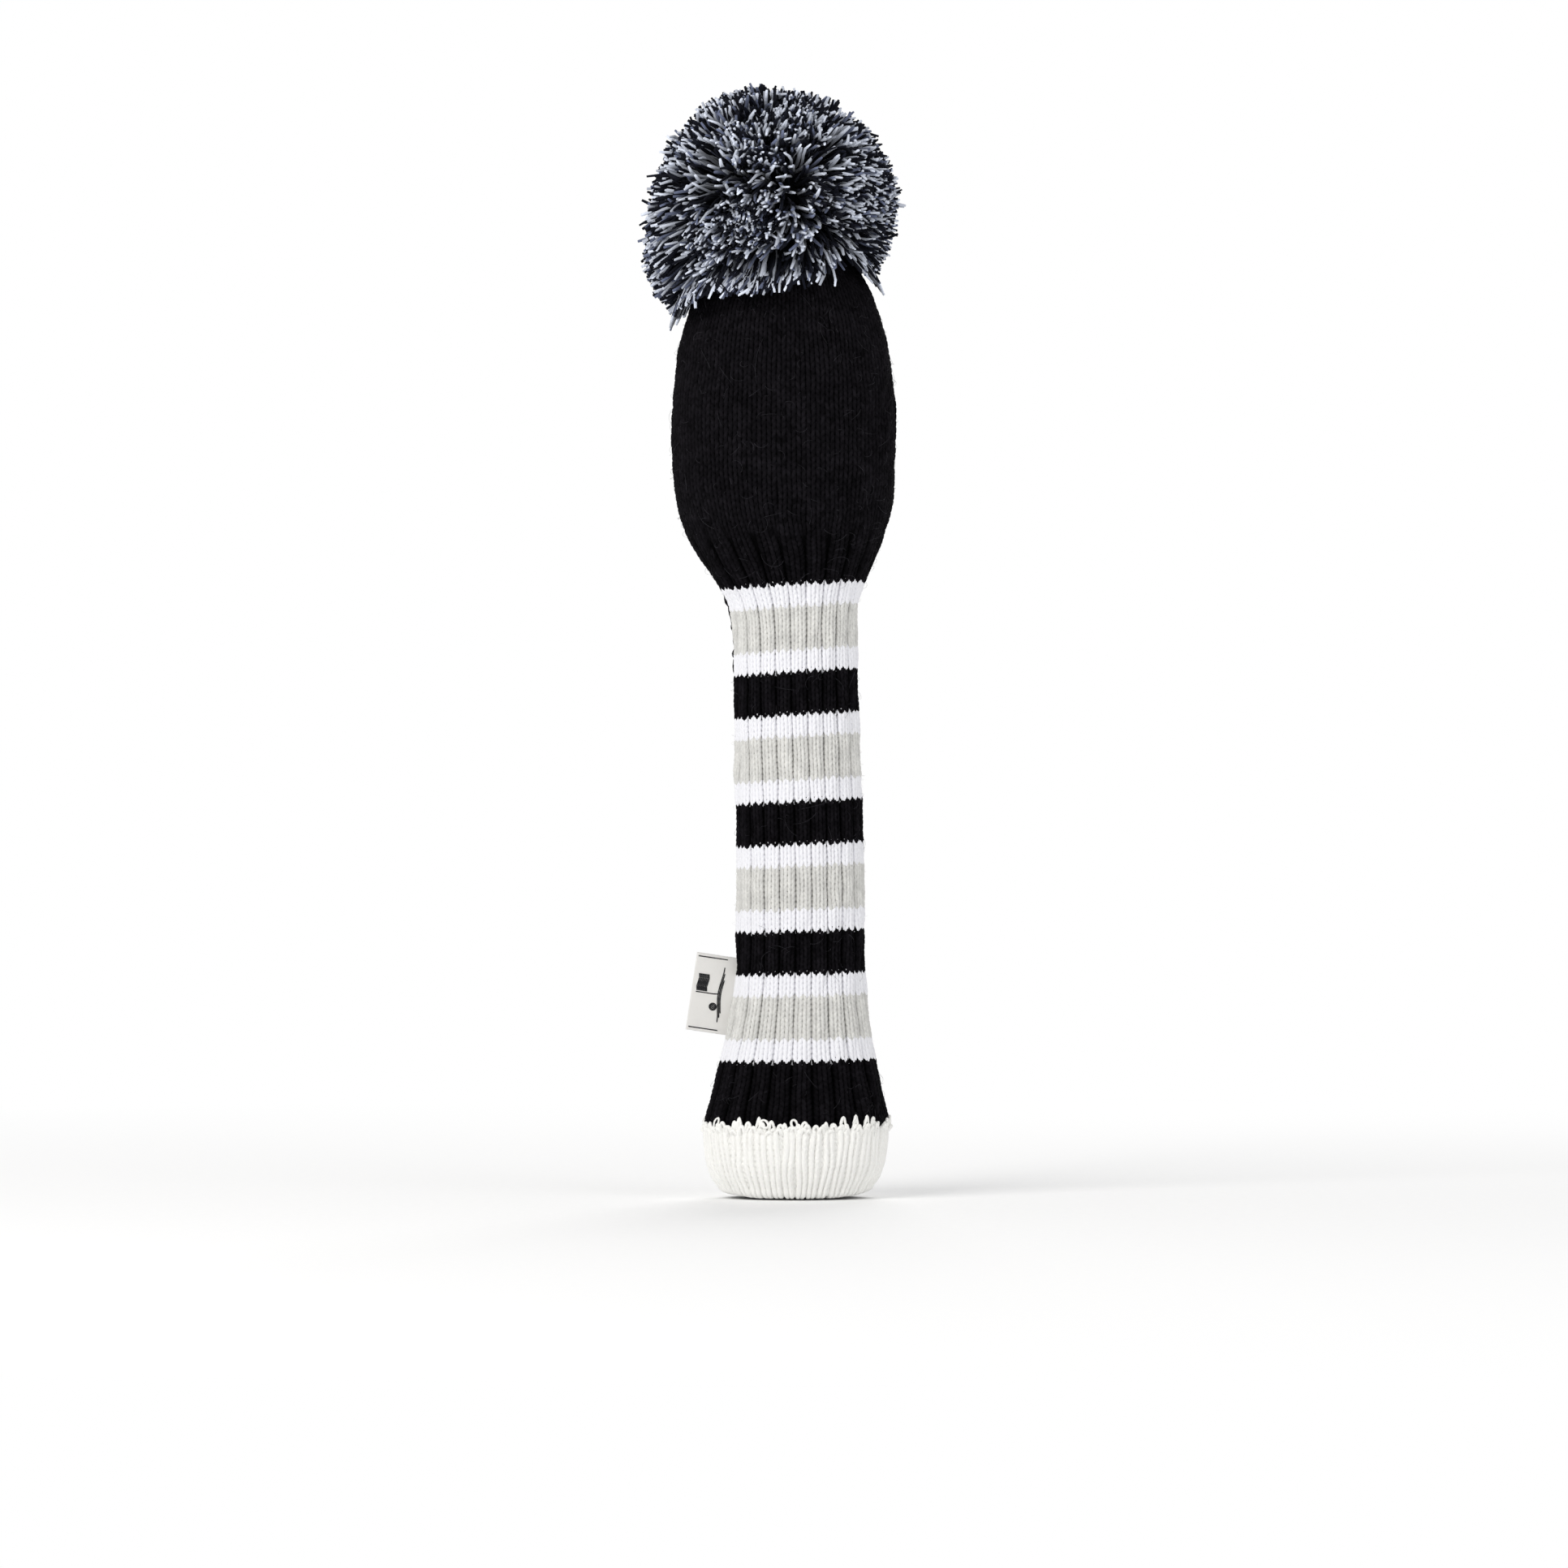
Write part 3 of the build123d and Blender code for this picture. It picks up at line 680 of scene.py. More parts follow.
def cloth_material(name, group, bump, sheen, specular, values):
    """A cloth material: a group's colour, roughness and height into one Principled shader."""
    material = bpy.data.materials.get(name)
    if material:
        return material
    material = bpy.data.materials.new(name)
    material.use_nodes = True
    tree = material.node_tree
    shader = tree.nodes["Principled BSDF"]
    effect = tree.nodes.new("ShaderNodeGroup")
    effect.node_tree = group
    for label, value in values.items():
        effect.inputs[label].default_value = value
    links = {"Height": effect.outputs["Height"], "Strength": bump, "Distance": 0.3 * MM}
    raised = add_node(tree, "ShaderNodeBump", links)
    tree.links.new(effect.outputs["Colour"], shader.inputs["Base Color"])
    tree.links.new(effect.outputs["Roughness"], shader.inputs["Roughness"])
    tree.links.new(raised.outputs["Normal"], shader.inputs["Normal"])
    for label, value in (("Sheen Weight", sheen), ("Sheen Roughness", 0.6), ("Specular IOR Level", specular)):
        shader.inputs[label].default_value = value
    material.diffuse_color = (*values["Colour"][:3], 1)
    return material


def yarn_material(name, colour, deep, mottle=0.25, sheen=0.15, bump=0.5, specular=0.25):
    """Spun yarn in one colour; deep is the share of the colour left as painted shade in the gaps and deep
    parts.
    """
    full = (*colour, 1)
    shade = (*[c * deep for c in colour], 1)
    values = {"Colour": full, "Deep colour": shade, "Mottle": mottle, "Fibre scale": 1400.0}
    return cloth_material(name, yarn_group(), bump, sheen, specular, values)


def woven_material(name, colour, gap_shade, threads, bump, sheen):
    """Plain weave in one colour, darker between threads as painted shade; threads is how many there are to a
    metre.
    """
    values = {"Colour": (*colour, 1), "Gap colour": (*gap_shade, 1), "Threads per metre": threads}
    return cloth_material(name, weave_group(), bump, sheen, 0.25, values)


def materials():
    """Every yarn and cloth of the cover, by its slot."""
    tones = bpy.context.scene.cover_colours
    # The ribbon's painted shade between threads, at 0.86 of its colour.
    gap_shade = [c * 0.86 for c in tones.ribbon]
    yarn = yarn_material
    # The number after each yarn's colour is the share of that colour kept as painted shade where the yarn
    # lies deep.
    return {
        "black_yarn": yarn("Black yarn", tones.black, 0.03, mottle=1.1, sheen=0.0, specular=0.02),
        "black_fibre_sheen": yarn("Black fibres", tones.black_fibre_sheen, 0.5, mottle=0.3, sheen=0.0, specular=0.05),
        "white_yarn": yarn("White yarn", tones.white, 0.95, mottle=0.06),
        "grey_yarn": yarn("Pale grey yarn", tones.grey, 0.3, mottle=0.4),
        "cuff_yarn": yarn("Cuff yarn", tones.cuff, 0.85, mottle=0.08),
        "pale_strand": yarn("Pale strands", tones.pale_strand, 0.12, mottle=0.5, sheen=0.2),
        "black_strand": yarn("Black strands", tones.black_strand, 0.2, mottle=0.9, sheen=0.01, specular=0.12),
        "grey_strand": yarn("Grey strands", tones.grey_strand, 0.15, mottle=0.5, sheen=0.1),
        "lining": yarn("Fleece lining", tones.lining, 0.6, mottle=0.8, sheen=0.3, bump=1.0),
        "thread": yarn("Label thread", tones.thread, 0.6, mottle=0.4, sheen=0.05),
        "label_ribbon": woven_material("Label ribbon", tones.ribbon, gap_shade, 4600.0, 0.6, 0.1),
        # The elastic's painted shade between its cords is near black.
        "elastic": woven_material("Woven elastic", tones.elastic, (0.01, 0.01, 0.01), 900.0, 0.8, 0.0),
    }


def finish_piece(piece, material, slot, body, *nodes):
    """Give a piece its material, its body and the CAD nodes it stands for; the slot is not used."""
    piece.data.materials.append(materials()[material])
    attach(piece, body)
    if nodes:
        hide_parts(*nodes)


def add_piece(name, skins, material, slot, body, *nodes):
    """Join skins into one finished piece."""
    finish_piece(new_piece(name, *joined(skins)), material, slot, body, *nodes)


# ---------------------------------------------------------------- the sock


def knit_nodes():
    """CAD nodes of the knitted tube above the cuff, lowest first."""
    found = [n for n in frame["nodes"] if n.startswith(("stripe_", "black_band_"))]
    found += ["flare_band", "rib_taper", "knit_body"]
    return sorted(found, key=lambda name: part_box(name)[0].z)


def sock_sleeve():
    """The knitted tube from the linking up to the crown."""
    rows = outside_rows(knit_nodes() + ["cuff"])
    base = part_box("cuff")[1].z - 10 * MM
    rows = rows[rows[:, 0] >= base]
    crown = rows[-1].copy()
    crown[2:] = 2 * MM
    even = even_rows(np.concatenate([rows, crown[None]]))
    slant_top = bpy.context.scene.knit_sizes.stripe_slant
    foot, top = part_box("flare_band")[0].z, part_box("rib_taper")[1].z

    def slant(height):
        rising = smooth_step(foot, top - 30 * MM, height)
        return slant_top * (0.25 + 0.75 * rising) * (1 - smooth_step(top - 12 * MM, top + 20 * MM, height))

    sleeve = Sleeve(even, slant)
    sleeve.rumple(0.45 * MM, 12)
    return sleeve


def yarn_slot(node):
    """The yarn that a knitted node is made of."""
    if "white" in node:
        return "white_yarn"
    return "grey_yarn" if "grey" in node else "black_yarn"


class COVER_OT_knit_sock(bpy.types.Operator):
    """Knit the body, the taper, the stripes and the flare, a piece for every few courses, and their loose
    fibres one piece for each yarn
    """

    bl_idname = "cover.knit_sock"
    bl_label = "Knit the sock"

    def execute(self, context):
        sizes = context.scene.knit_sizes
        sleeve = sock_sleeve()
        taper = [sleeve.along_at(corner.z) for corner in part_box("rib_taper")]
        for number, node in enumerate(knit_nodes()):
            low, high = (sleeve.along_at(corner.z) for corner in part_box(node))
            if node == "knit_body":
                high = sleeve.length
            if node == "flare_band":
                low -= 2.8 * MM
            course = sizes.body_course if node == "knit_body" else sizes.stripe_course
            parts = math.ceil((high - low) / course / MOST_COURSES)
            slot = yarn_slot(node)
            for part in range(parts):
                bottom = low + (high - low) * part / parts
                top = low + (high - low) * (part + 1) / parts
                skins = knit_band(sleeve, bottom, top, course, taper, HABITS[slot], 100 + 7 * number + part)
                add_piece(f"{node}_yarn_{part + 1}", skins, slot, slot, "cover", node)
        self.fibres(sleeve)
        return {"FINISHED"}

    def fibres(self, sleeve):
        """Loose fibres of each yarn, clear of the label and of the pom-pom."""
        skins = {}
        label = [sleeve.along_at(corner.z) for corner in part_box("label_ribbon")]
        pompom = sleeve.along_at(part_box("pompom_pile")[0].z - 12 * MM)
        for number, node in enumerate(knit_nodes()):
            low, high = (min(sleeve.along_at(corner.z), pompom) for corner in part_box(node))
            slot = yarn_slot(node)
            skin = fibre_skin(sleeve, low, high, HABITS[slot].fibre, label, 300 + number)
            skins.setdefault(slot, []).append(skin)
        for slot, found in skins.items():
            # The black yarn's fibres take the lighter colour of painted sheen.
            material = "black_fibre_sheen" if slot == "black_yarn" else slot
            add_piece(f"loose_fibres_{slot}", found, material, slot, "cover")


class COVER_OT_knit_cuff(bpy.types.Operator):
    """Knit the turned cuff and link it to the flare"""

    bl_idname = "cover.knit_cuff"
    bl_label = "Knit the cuff"

    def execute(self, context):
        sleeve, length = cuff_sleeve()
        number = round(length / context.scene.knit_sizes.cuff_course)
        for part, centres in enumerate(np.array_split(np.arange(number), math.ceil(number / 10))):
            skins = knit_cuff(sleeve, length / number, centres)
            add_piece(f"cuff_ribbing_{part + 1}", skins, "cuff_yarn", "cuff_yarn", "cover", "cuff")
        skins = linking_skins(sock_sleeve())
        add_piece("cuff_linking", skins, "cuff_yarn", "cuff_yarn", "cover", "cuff_linking_yarn")
        return {"FINISHED"}


def laid_yarn(sleeve, turn, along, out, radius, shade_and_tone, closed=False):
    """The skin of yarns of one radius that lie along the fabric."""
    path, normal = sleeve.place(turn, along, out)
    radii = np.full(turn.shape, radius)
    points, faces = tube_skin(path, normal, radii, YARN_SIDES, closed, ply=0.1, lead=0.8)
    return points, faces, shade_and_tone


def linking_skins(sleeve, seed=61):
    """The white stitches that link the cuff to the flare: irregular tips, and a few slack loops."""
    tips = bpy.context.scene.knit_sizes.link_tips
    draw = np.random.default_rng(seed)
    edge = sleeve.along_at(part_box("cuff_linking_yarn")[0].z)
    skins = []
    layers = ((-3.2, 3.7, 0.8), (-3.0, 5.4, 0.72), (-3.8, 3.2, 0.85))
    each = 18
    for layer, (foot, reach, radius) in enumerate(layers):
        count = tips + 5 * layer
        swing = np.tile(np.linspace(0, 2 * math.pi, each, endpoint=False), count)
        height = np.repeat(draw.uniform(0.3, 1.0, count), each) * reach * MM
        width = np.repeat(draw.uniform(-0.06, 0.06, count), each)
        local = swing / (2 * math.pi) + width * np.sin(2 * swing)
        turn = (np.repeat(np.arange(count) + draw.uniform(-0.3, 0.3, count), each) + local) / count
        rise = 0.5 - 0.5 * np.cos(swing)
        along = edge + foot * MM + height * rise**1.5
        out = (-1.9 + 0.1 * layer) * MM + 2.2 * MM * rise**0.8
        path, normal = sleeve.place(turn[None], along[None], out[None])
        thick = radius * MM * (1 - 0.3 * rise)[None]
        points, faces = tube_skin(path, normal, thick, 8, True, ply=0.12, lead=0.6)
        skins.append((points, faces, 1.0))
    swing = np.linspace(0, 2 * math.pi, 20, endpoint=False)[None]
    count = 10
    turn = draw.random(count)[:, None] + draw.uniform(0.9, 1.5, count)[:, None] / 180 * np.sin(swing)
    tall = draw.uniform(0.9, 1.9, count)[:, None] * MM
    askew = draw.normal(0, 1, count)[:, None]
    along = edge + 0.1 * MM + tall * -np.cos(swing) + 0.6 * MM * np.sin(swing) * askew
    out = 0.2 * MM + 0.3 * MM * np.sin(swing + draw.uniform(0, 6, count)[:, None])
    skins.append(laid_yarn(sleeve, turn, along, out, 0.42 * MM, 1.0, closed=True))
    return skins


# ---------------------------------------------------------------- the pom-pom


class Crown:
    """The rounded top of the body, which the pom-pom's strands lie over."""

    power = 2.4

    def __init__(self):
        rows = outside_rows(["knit_body"])
        widest = rows[np.argmax(rows[:, 2])]
        self.middle = np.array([widest[1], 0, widest[0]])
        self.reach = np.array([widest[2], widest[3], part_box("knit_body")[1].z - widest[0]])

    def cleared(self, points, clear):
        """The points, moved out of the crown and a little above it."""
        away = points - self.middle
        reach = self.reach + clear
        share = (np.abs(away / reach) ** self.power).sum(axis=-1) ** (1 / self.power)
        inside = (share < 1) & (away[..., 2] > 0)
        scale = np.where(inside, 1 / np.maximum(share, 0.3), 1.0)
        return self.middle + away * scale[..., None]

    def cleared_leaning(self, points, clear):
        """The points, moved so that they clear the crown while the pom-pom nods."""
        for lean in leans():
            there = points @ lean[:3, :3].T + lean[:3, 3]
            there = self.cleared_sideways(there, clear)
            points = (there - lean[:3, 3]) @ lean[:3, :3]
        return self.cleared(points, clear)

    def cleared_sideways(self, points, clear):
        """The points, moved level out of the crown's sides, and up off its top."""
        share = np.abs((points - self.middle) / (self.reach + clear)) ** self.power
        inside = (share.sum(axis=-1) < 1) & (points[..., 2] > self.middle[2])
        level = (1 - share[..., 2]) / np.maximum(share[..., 0] + share[..., 1], 0.02)
        level = np.maximum(level, 1)[..., None] ** (1 / self.power)
        aside = points.copy()
        aside[..., :2] = self.middle[:2] + (points[..., :2] - self.middle[:2]) * level
        rise = smooth_step(0.7, 0.9, share[..., 2] ** (1 / self.power))[..., None]
        moved = aside * (1 - rise) + self.cleared(points, clear) * rise
        return np.where(inside[..., None], moved, points)


def leans():
    """The pom-pom's placings between the limits of its nod, with a little of its sway, upright last."""
    joints = {joint["name"]: joint for joint in frame["joints"]}

    def turned(name, degrees):
        middle = Matrix.Translation(joints[name]["pos_m"])
        turn = Matrix.Rotation(math.radians(degrees), 4, Vector(joints[name]["axis"]))
        return middle @ turn @ middle.inverted()

    leaning = [(nod, sway) for nod in NODS for sway in SWAYS]
    return [np.array(turned("pompom_nod", nod) @ turned("pompom_sway", sway)) for nod, sway in leaning]


def even_directions(count, draw):
    """Directions spread evenly over a ball, and a little jittered."""
    index = np.arange(count) + 0.5
    height = 1 - 2 * index / count
    angle = math.pi * (1 + 5**0.5) * index
    flat = np.sqrt(1 - height**2)
    found = np.stack([flat * np.cos(angle), flat * np.sin(angle), height], axis=1)
    found += draw.normal(0, 0.035, found.shape)
    return found / np.linalg.norm(found, axis=1, keepdims=True)


def pompom_middle():
    """Middle and radius of the pom-pom's ball."""
    low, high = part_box("pompom_pile")
    radius = (high.x - low.x) / 2
    return np.array([(low.x + high.x) / 2, 0, high.z - radius]), radius


def strand_paths(count, seed=7):
    """Paths of the strands, the ways they set off in, and the generator that drew them."""
    sizes = bpy.context.scene.pompom_sizes
    draw = np.random.default_rng(seed)
    middle, radius = pompom_middle()
    way = even_directions(count, draw)
    tufts = even_directions(sizes.tufts, draw)
    tufts += draw.normal(0, 0.1, tufts.shape)
    aim = tufts + draw.normal(0, 0.16, tufts.shape)
    nearest = np.argmax(way @ tufts.T, axis=1)
    pull = draw.uniform(0.05, 0.8, (count, 1))
    lean = way + (aim[nearest] - way) * pull + draw.normal(0, 0.085, way.shape)
    lean /= np.linalg.norm(lean, axis=1, keepdims=True)
    length = 0.975 + draw.uniform(-0.06, 0.03, sizes.tufts)[nearest] + draw.normal(0, 0.014, count)
    length = length - 0.12 * draw.random(count) ** 3
    stray = draw.random(count) < 0.003
    length = np.where(stray, length + draw.uniform(0.03, 0.1, count), length)
    tip = lean * radius * np.array([1.04, 1.0, 0.98]) * length[:, None]
    tip[:, 2] *= np.where(lean[:, 2] > 0, 0.945, 1.0)
    below = np.clip(-lean[:, 2], 0, 1)
    tip[:, 0] -= sizes.droop * below * (1.0 + 0.5 * lean[:, 0])
    tip[:, 2] -= sizes.droop * below * np.clip(0.75 - 0.8 * lean[:, 0], 0, 1.6)
    tip[:, 2] -= 1.2 * MM * (1 - lean[:, 2] ** 2)
    bulge = np.clip(lean @ np.array([-0.76, 0, -0.65]), 0, 1) ** 4
    tip += sizes.lobe * bulge[:, None] * np.array([-1.0, 0, -0.6])
    root = way * radius * 0.34
    bend = (root + tip) / 2 + way * radius * 0.12 + draw.normal(0, 2.2 * MM, tip.shape)
    share = np.linspace(0, 1, STRAND_POINTS)[None, :, None]
    ends = root[:, None] * (1 - share) ** 2, tip[:, None] * share**2
    path = ends[0] + 2 * bend[:, None] * share * (1 - share) + ends[1]
    curl = draw.normal(0, 1.0 * MM, tip.shape)[:, None]
    curl = curl * np.sin(share * 5 + draw.uniform(0, 6, (count, 1, 1)))
    path = middle + path + curl * share
    crown = Crown()
    kept = (np.abs((path[:, -1] - crown.middle) / crown.reach) ** crown.power).sum(axis=1) > 0.55
    kept &= path[:, -1, 2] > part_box("pompom_pile")[0].z - 24 * MM
    cleared = crown.cleared_leaning(path, 1.1 * MM)
    kept &= np.linalg.norm(cleared[:, -1] - path[:, -1], axis=1) < FARTHEST_PUSH
    return cleared[kept], way[kept], draw


class COVER_OT_pompom(bpy.types.Operator):
    """Cut the pom-pom's strands, black and pale, round a black heart darkened with painted shade"""

    bl_idname = "cover.pompom"
    bl_label = "Make the pom-pom"

    def execute(self, context):
        sizes = context.scene.pompom_sizes
        paths, ways, draw = strand_paths(sizes.strands)
        kind = draw.choice(3, len(paths), p=(0.39, 0.48, 0.13))
        radius = sizes.strand_radius * draw.uniform(0.8, 1.15, len(paths))[:, None]
        profile = np.array([0.6, 0.8, 0.95, 1.0, 1.05, 1.05, 0.7])[None]
        # Painted shade: each strand darkens towards its root inside the ball; the tone per strand is its own
        # random tone.
        depth = np.linspace(0, 1, STRAND_POINTS)[None] ** 2.6
        tone = 0.3 + 0.7 * draw.random((len(paths), 1)) ** 1.2
        side = np.cross(ways, (0.3, 0.5, 0.8))
        for number, name in enumerate(("pale", "black", "grey")):
            for half, facing in (("front", ways[:, 1] < 0), ("back", ways[:, 1] >= 0)):
                chosen = (kind == number) & facing
                normal = np.repeat(side[chosen][:, None], STRAND_POINTS, axis=1)
                thick = radius[chosen] * profile
                points, faces = tube_skin(paths[chosen], normal, thick, STRAND_SIDES, False, 0.14, 0.8)
                shade_and_tone = np.repeat((depth * tone[chosen]).reshape(-1), STRAND_SIDES)
                piece = new_piece(f"pompom_{name}_strands_{half}", points, faces, shade_and_tone)
                finish_piece(piece, f"{name}_strand", "pompom_yarn", "pompom", "pompom_pile")
        self.heart()
        return {"FINISHED"}

    def heart(self):
        """The dense middle that the strands grow out of, in black strand yarn darkened all over with painted
        shade.
        """
        middle, radius = pompom_middle()
        draw = np.random.default_rng(3)
        rows, columns = 40, 80
        tilt = np.linspace(0.02, math.pi - 0.02, rows)[:, None]
        turn = np.arange(columns)[None] * 2 * math.pi / columns
        level = np.sin(tilt)
        way = np.stack([level * np.cos(turn), level * np.sin(turn), np.cos(tilt) + 0 * turn], axis=2)
        bumps = 1 + 0.05 * draw.normal(0, 1, (rows, columns))
        grid = middle + way * (radius * 0.6 * bumps)[..., None]
        grid = Crown().cleared_leaning(grid, 0.6 * MM)
        points, faces = sheet_skin(grid)
        ends = [np.arange(columns)[None, ::-1], (np.arange(columns) + (rows - 1) * columns)[None]]
        # Zeros: the heart takes the painted shade colour all over.
        piece = new_piece("pompom_heart", points, faces + ends, np.zeros(len(points)))
        finish_piece(piece, "black_strand", "pompom_yarn", "pompom", "pompom_pile")


# ---------------------------------------------------------------- yarns and linings inside


def plied(path, radius, plies, turns, closed, seed=5, sides=10):
    """Skins of a cord of several plies twisted round a path of points."""
    path = np.asarray(path, float)
    number = len(path)
    forward = np.roll(path, -1, axis=0) - np.roll(path, 1, axis=0) if closed else np.gradient(path, axis=0)
    forward /= np.linalg.norm(forward, axis=1, keepdims=True)
    side = np.cross(forward, (0.31, 0.19, 0.93))
    side /= np.linalg.norm(side, axis=1, keepdims=True)
    up = np.cross(side, forward)
    share = np.arange(number) / (number if closed else number - 1)
    ply = radius * (0.5 if plies > 1 else 0)
    skins = []
    for each in range(plies):
        angle = 2 * math.pi * (share * turns + each / plies)
        strand = path + ply * (side * np.cos(angle)[:, None] + up * np.sin(angle)[:, None])
        thick = np.full((1, number), radius - 0.9 * ply)
        thick = thick * (1 + 0.04 * wander(seed + each, share * 9))[None]
        points, faces = tube_skin(strand[None], up[None], thick, sides, closed, ply=0.05, lead=0.5)
        # 0.9: a slight even painted shade on the plies.
        skins.append((points, faces, np.full(len(points), 0.9)))
    return skins


def lining_skin(sleeve, thickness, pucker, seed):
    """A soft double-faced tube of fleece, closed at both edges, with slight vertical folds."""
    rows = max(4, int(sleeve.length / (1.6 * MM)))
    turns, alongs = np.meshgrid(np.arange(150) / 150, np.linspace(0, sleeve.length, rows))
    folds = pucker * wander(seed, turns * 11, alongs / (60 * MM)) - pucker
    nap = np.random.default_rng(seed).normal(0, 0.05 * MM, turns.shape)
    outside, _ = sleeve.place(turns, alongs, folds + nap - 0.1 * MM)
    inside, _ = sleeve.place(turns, alongs, folds - nap - thickness)
    points, faces = sheet_skin(np.concatenate([outside, inside[::-1], outside[:1]]))
    # 0.8: an even painted shade on the lining.
    return points, faces, np.full(len(points), 0.8)


def seam_skins(sleeve):
    """A plait of black yarn along the inside of the side seam."""
    low, high = (sleeve.along_at(corner.z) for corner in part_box("side_seam"))
    number = int((high - low) / (0.7 * MM))
    along = np.linspace(low + 1 * MM, high - 1 * MM, number)[None]
    phase = along / (4.2 * MM) * 2 * math.pi
    skins = []
    for third in range(3):
        swing = phase + third * 2 * math.pi / 3
        turn = 0.9 * MM * np.sin(swing) / sleeve.girth(along)
        out = -3.75 * MM + 0.3 * MM * np.sin(2 * swing)
        # 0.8: an even painted shade on the plait inside the seam.
        skins.append(laid_yarn(sleeve, turn, along, out, 0.45 * MM, 0.8))
    return skins


def float_skins(sleeve, low, high, seed=77):
    """Black yarn carried up the side of the first stripes, outside the seam."""
    low, high = sleeve.along_at(low), sleeve.along_at(high)
    number = int((high - low) / (0.6 * MM))
    along = np.linspace(low, high, number)[None]
    skins = []
    for strand in range(2):
        aside = (0.8 * strand - 0.4 + 1.1 * wander(seed + strand, along / (9 * MM))) * MM
        turn = aside / sleeve.girth(along)
        out = -0.25 * MM + 0.55 * MM * wander(seed + 5 + strand, along / (7 * MM))
        # 0.9: a slight even painted shade on the carried yarn.
        skins.append(laid_yarn(sleeve, turn, along, out, 0.42 * MM, 0.9))
    return skins


def upright_path(middle, low, high):
    """Points up a line that stands over the middle."""
    rise = np.linspace(low, high, 30)
    return np.stack([np.full(30, middle), np.zeros(30), rise], axis=1)


class COVER_OT_linings(bpy.types.Operator):
    """Line the neck and the head pocket, and gather the collar and the cuff's elastic"""

    bl_idname = "cover.linings"
    bl_label = "Make the linings"

    def execute(self, context):
        neck = outside_rows(["neck_liner"])
        head = outside_rows(["head_liner"])
        top = head[-1].copy()
        top[2:] = 1.0 * MM
        head = np.concatenate([head, top[None]])
        linings = (("neck", neck, 0.18 * MM, 31), ("head", head, 0.12 * MM, 32))
        for name, rows, pucker, seed in linings:
            skin = lining_skin(Sleeve(even_rows(rows)), 1.2 * MM, pucker, seed)
            add_piece(f"{name}_lining", [skin], "lining", "lining", "cover", f"{name}_liner")
        self.collar()
        self.elastic()
        return {"FINISHED"}

    def collar(self):
        """A gathered elastic ring, oval outside and round inside, with its pleats clear of the bore."""
        rows = outside_rows(["shaft_collar"])
        _, middle, half_width, half_depth = rows[len(rows) // 2]
        low, high = (corner.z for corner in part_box("shaft_collar"))
        bore = min(vertex.co.xy.length for vertex in frame["nodes"]["shaft_collar"].data.vertices)
        turn = np.arange(360) * 2 * math.pi / 360
        pleats = 0.5 - 0.5 * np.cos(turn * 40)
        round_it = np.stack([np.cos(turn), np.sin(turn)])
        oval = np.stack([middle + half_width * round_it[0], half_depth * round_it[1]])
        outside = oval - round_it * (0.1 * MM + 0.1 * MM * pleats)
        rings = []
        for share in np.linspace(0, 1, 15):
            crimp = 0.12 * MM * math.sin(share * math.pi * 14)
            rings.append((outside + crimp * round_it, share))
        for share in np.linspace(1, 0, 15):
            stand = 0.05 * MM + 0.55 * MM * pleats * math.sin(math.pi * (0.15 + 0.7 * share))
            rings.append((round_it * bore + round_it * stand, share))
        rings.append(rings[0])
        levels = [np.full(360, low + share * (high - low)) for _, share in rings]
        grid = np.stack([np.stack([*flat, z], axis=1) for (flat, _), z in zip(rings, levels)])
        piece = new_piece("gathered_collar", *sheet_skin(grid))
        finish_piece(piece, "elastic", "elastic", "cover", "shaft_collar")

    def elastic(self):
        """The flat elastic, woven in cords, that lies in the cuff's fold."""
        band = Sleeve(even_rows(outside_rows(["cuff_elastic"]), spread=2.0))
        turns, alongs = np.meshgrid(np.arange(420) / 420, np.linspace(0, band.length, 26))
        cords = 0.16 * MM * np.abs(np.sin(alongs / band.length * math.pi * 6))
        cords = cords + 0.04 * MM * np.cos(turns * 2 * math.pi * 105)
        outside, _ = band.place(turns, alongs, cords - 0.2 * MM)
        inside, _ = band.place(turns, alongs, -1.1 * MM - cords)
        loop = np.concatenate([outside, inside[::-1], outside[:1]])
        piece = new_piece("cuff_elastic_band", *sheet_skin(loop))
        finish_piece(piece, "elastic", "elastic", "cover", "cuff_elastic")


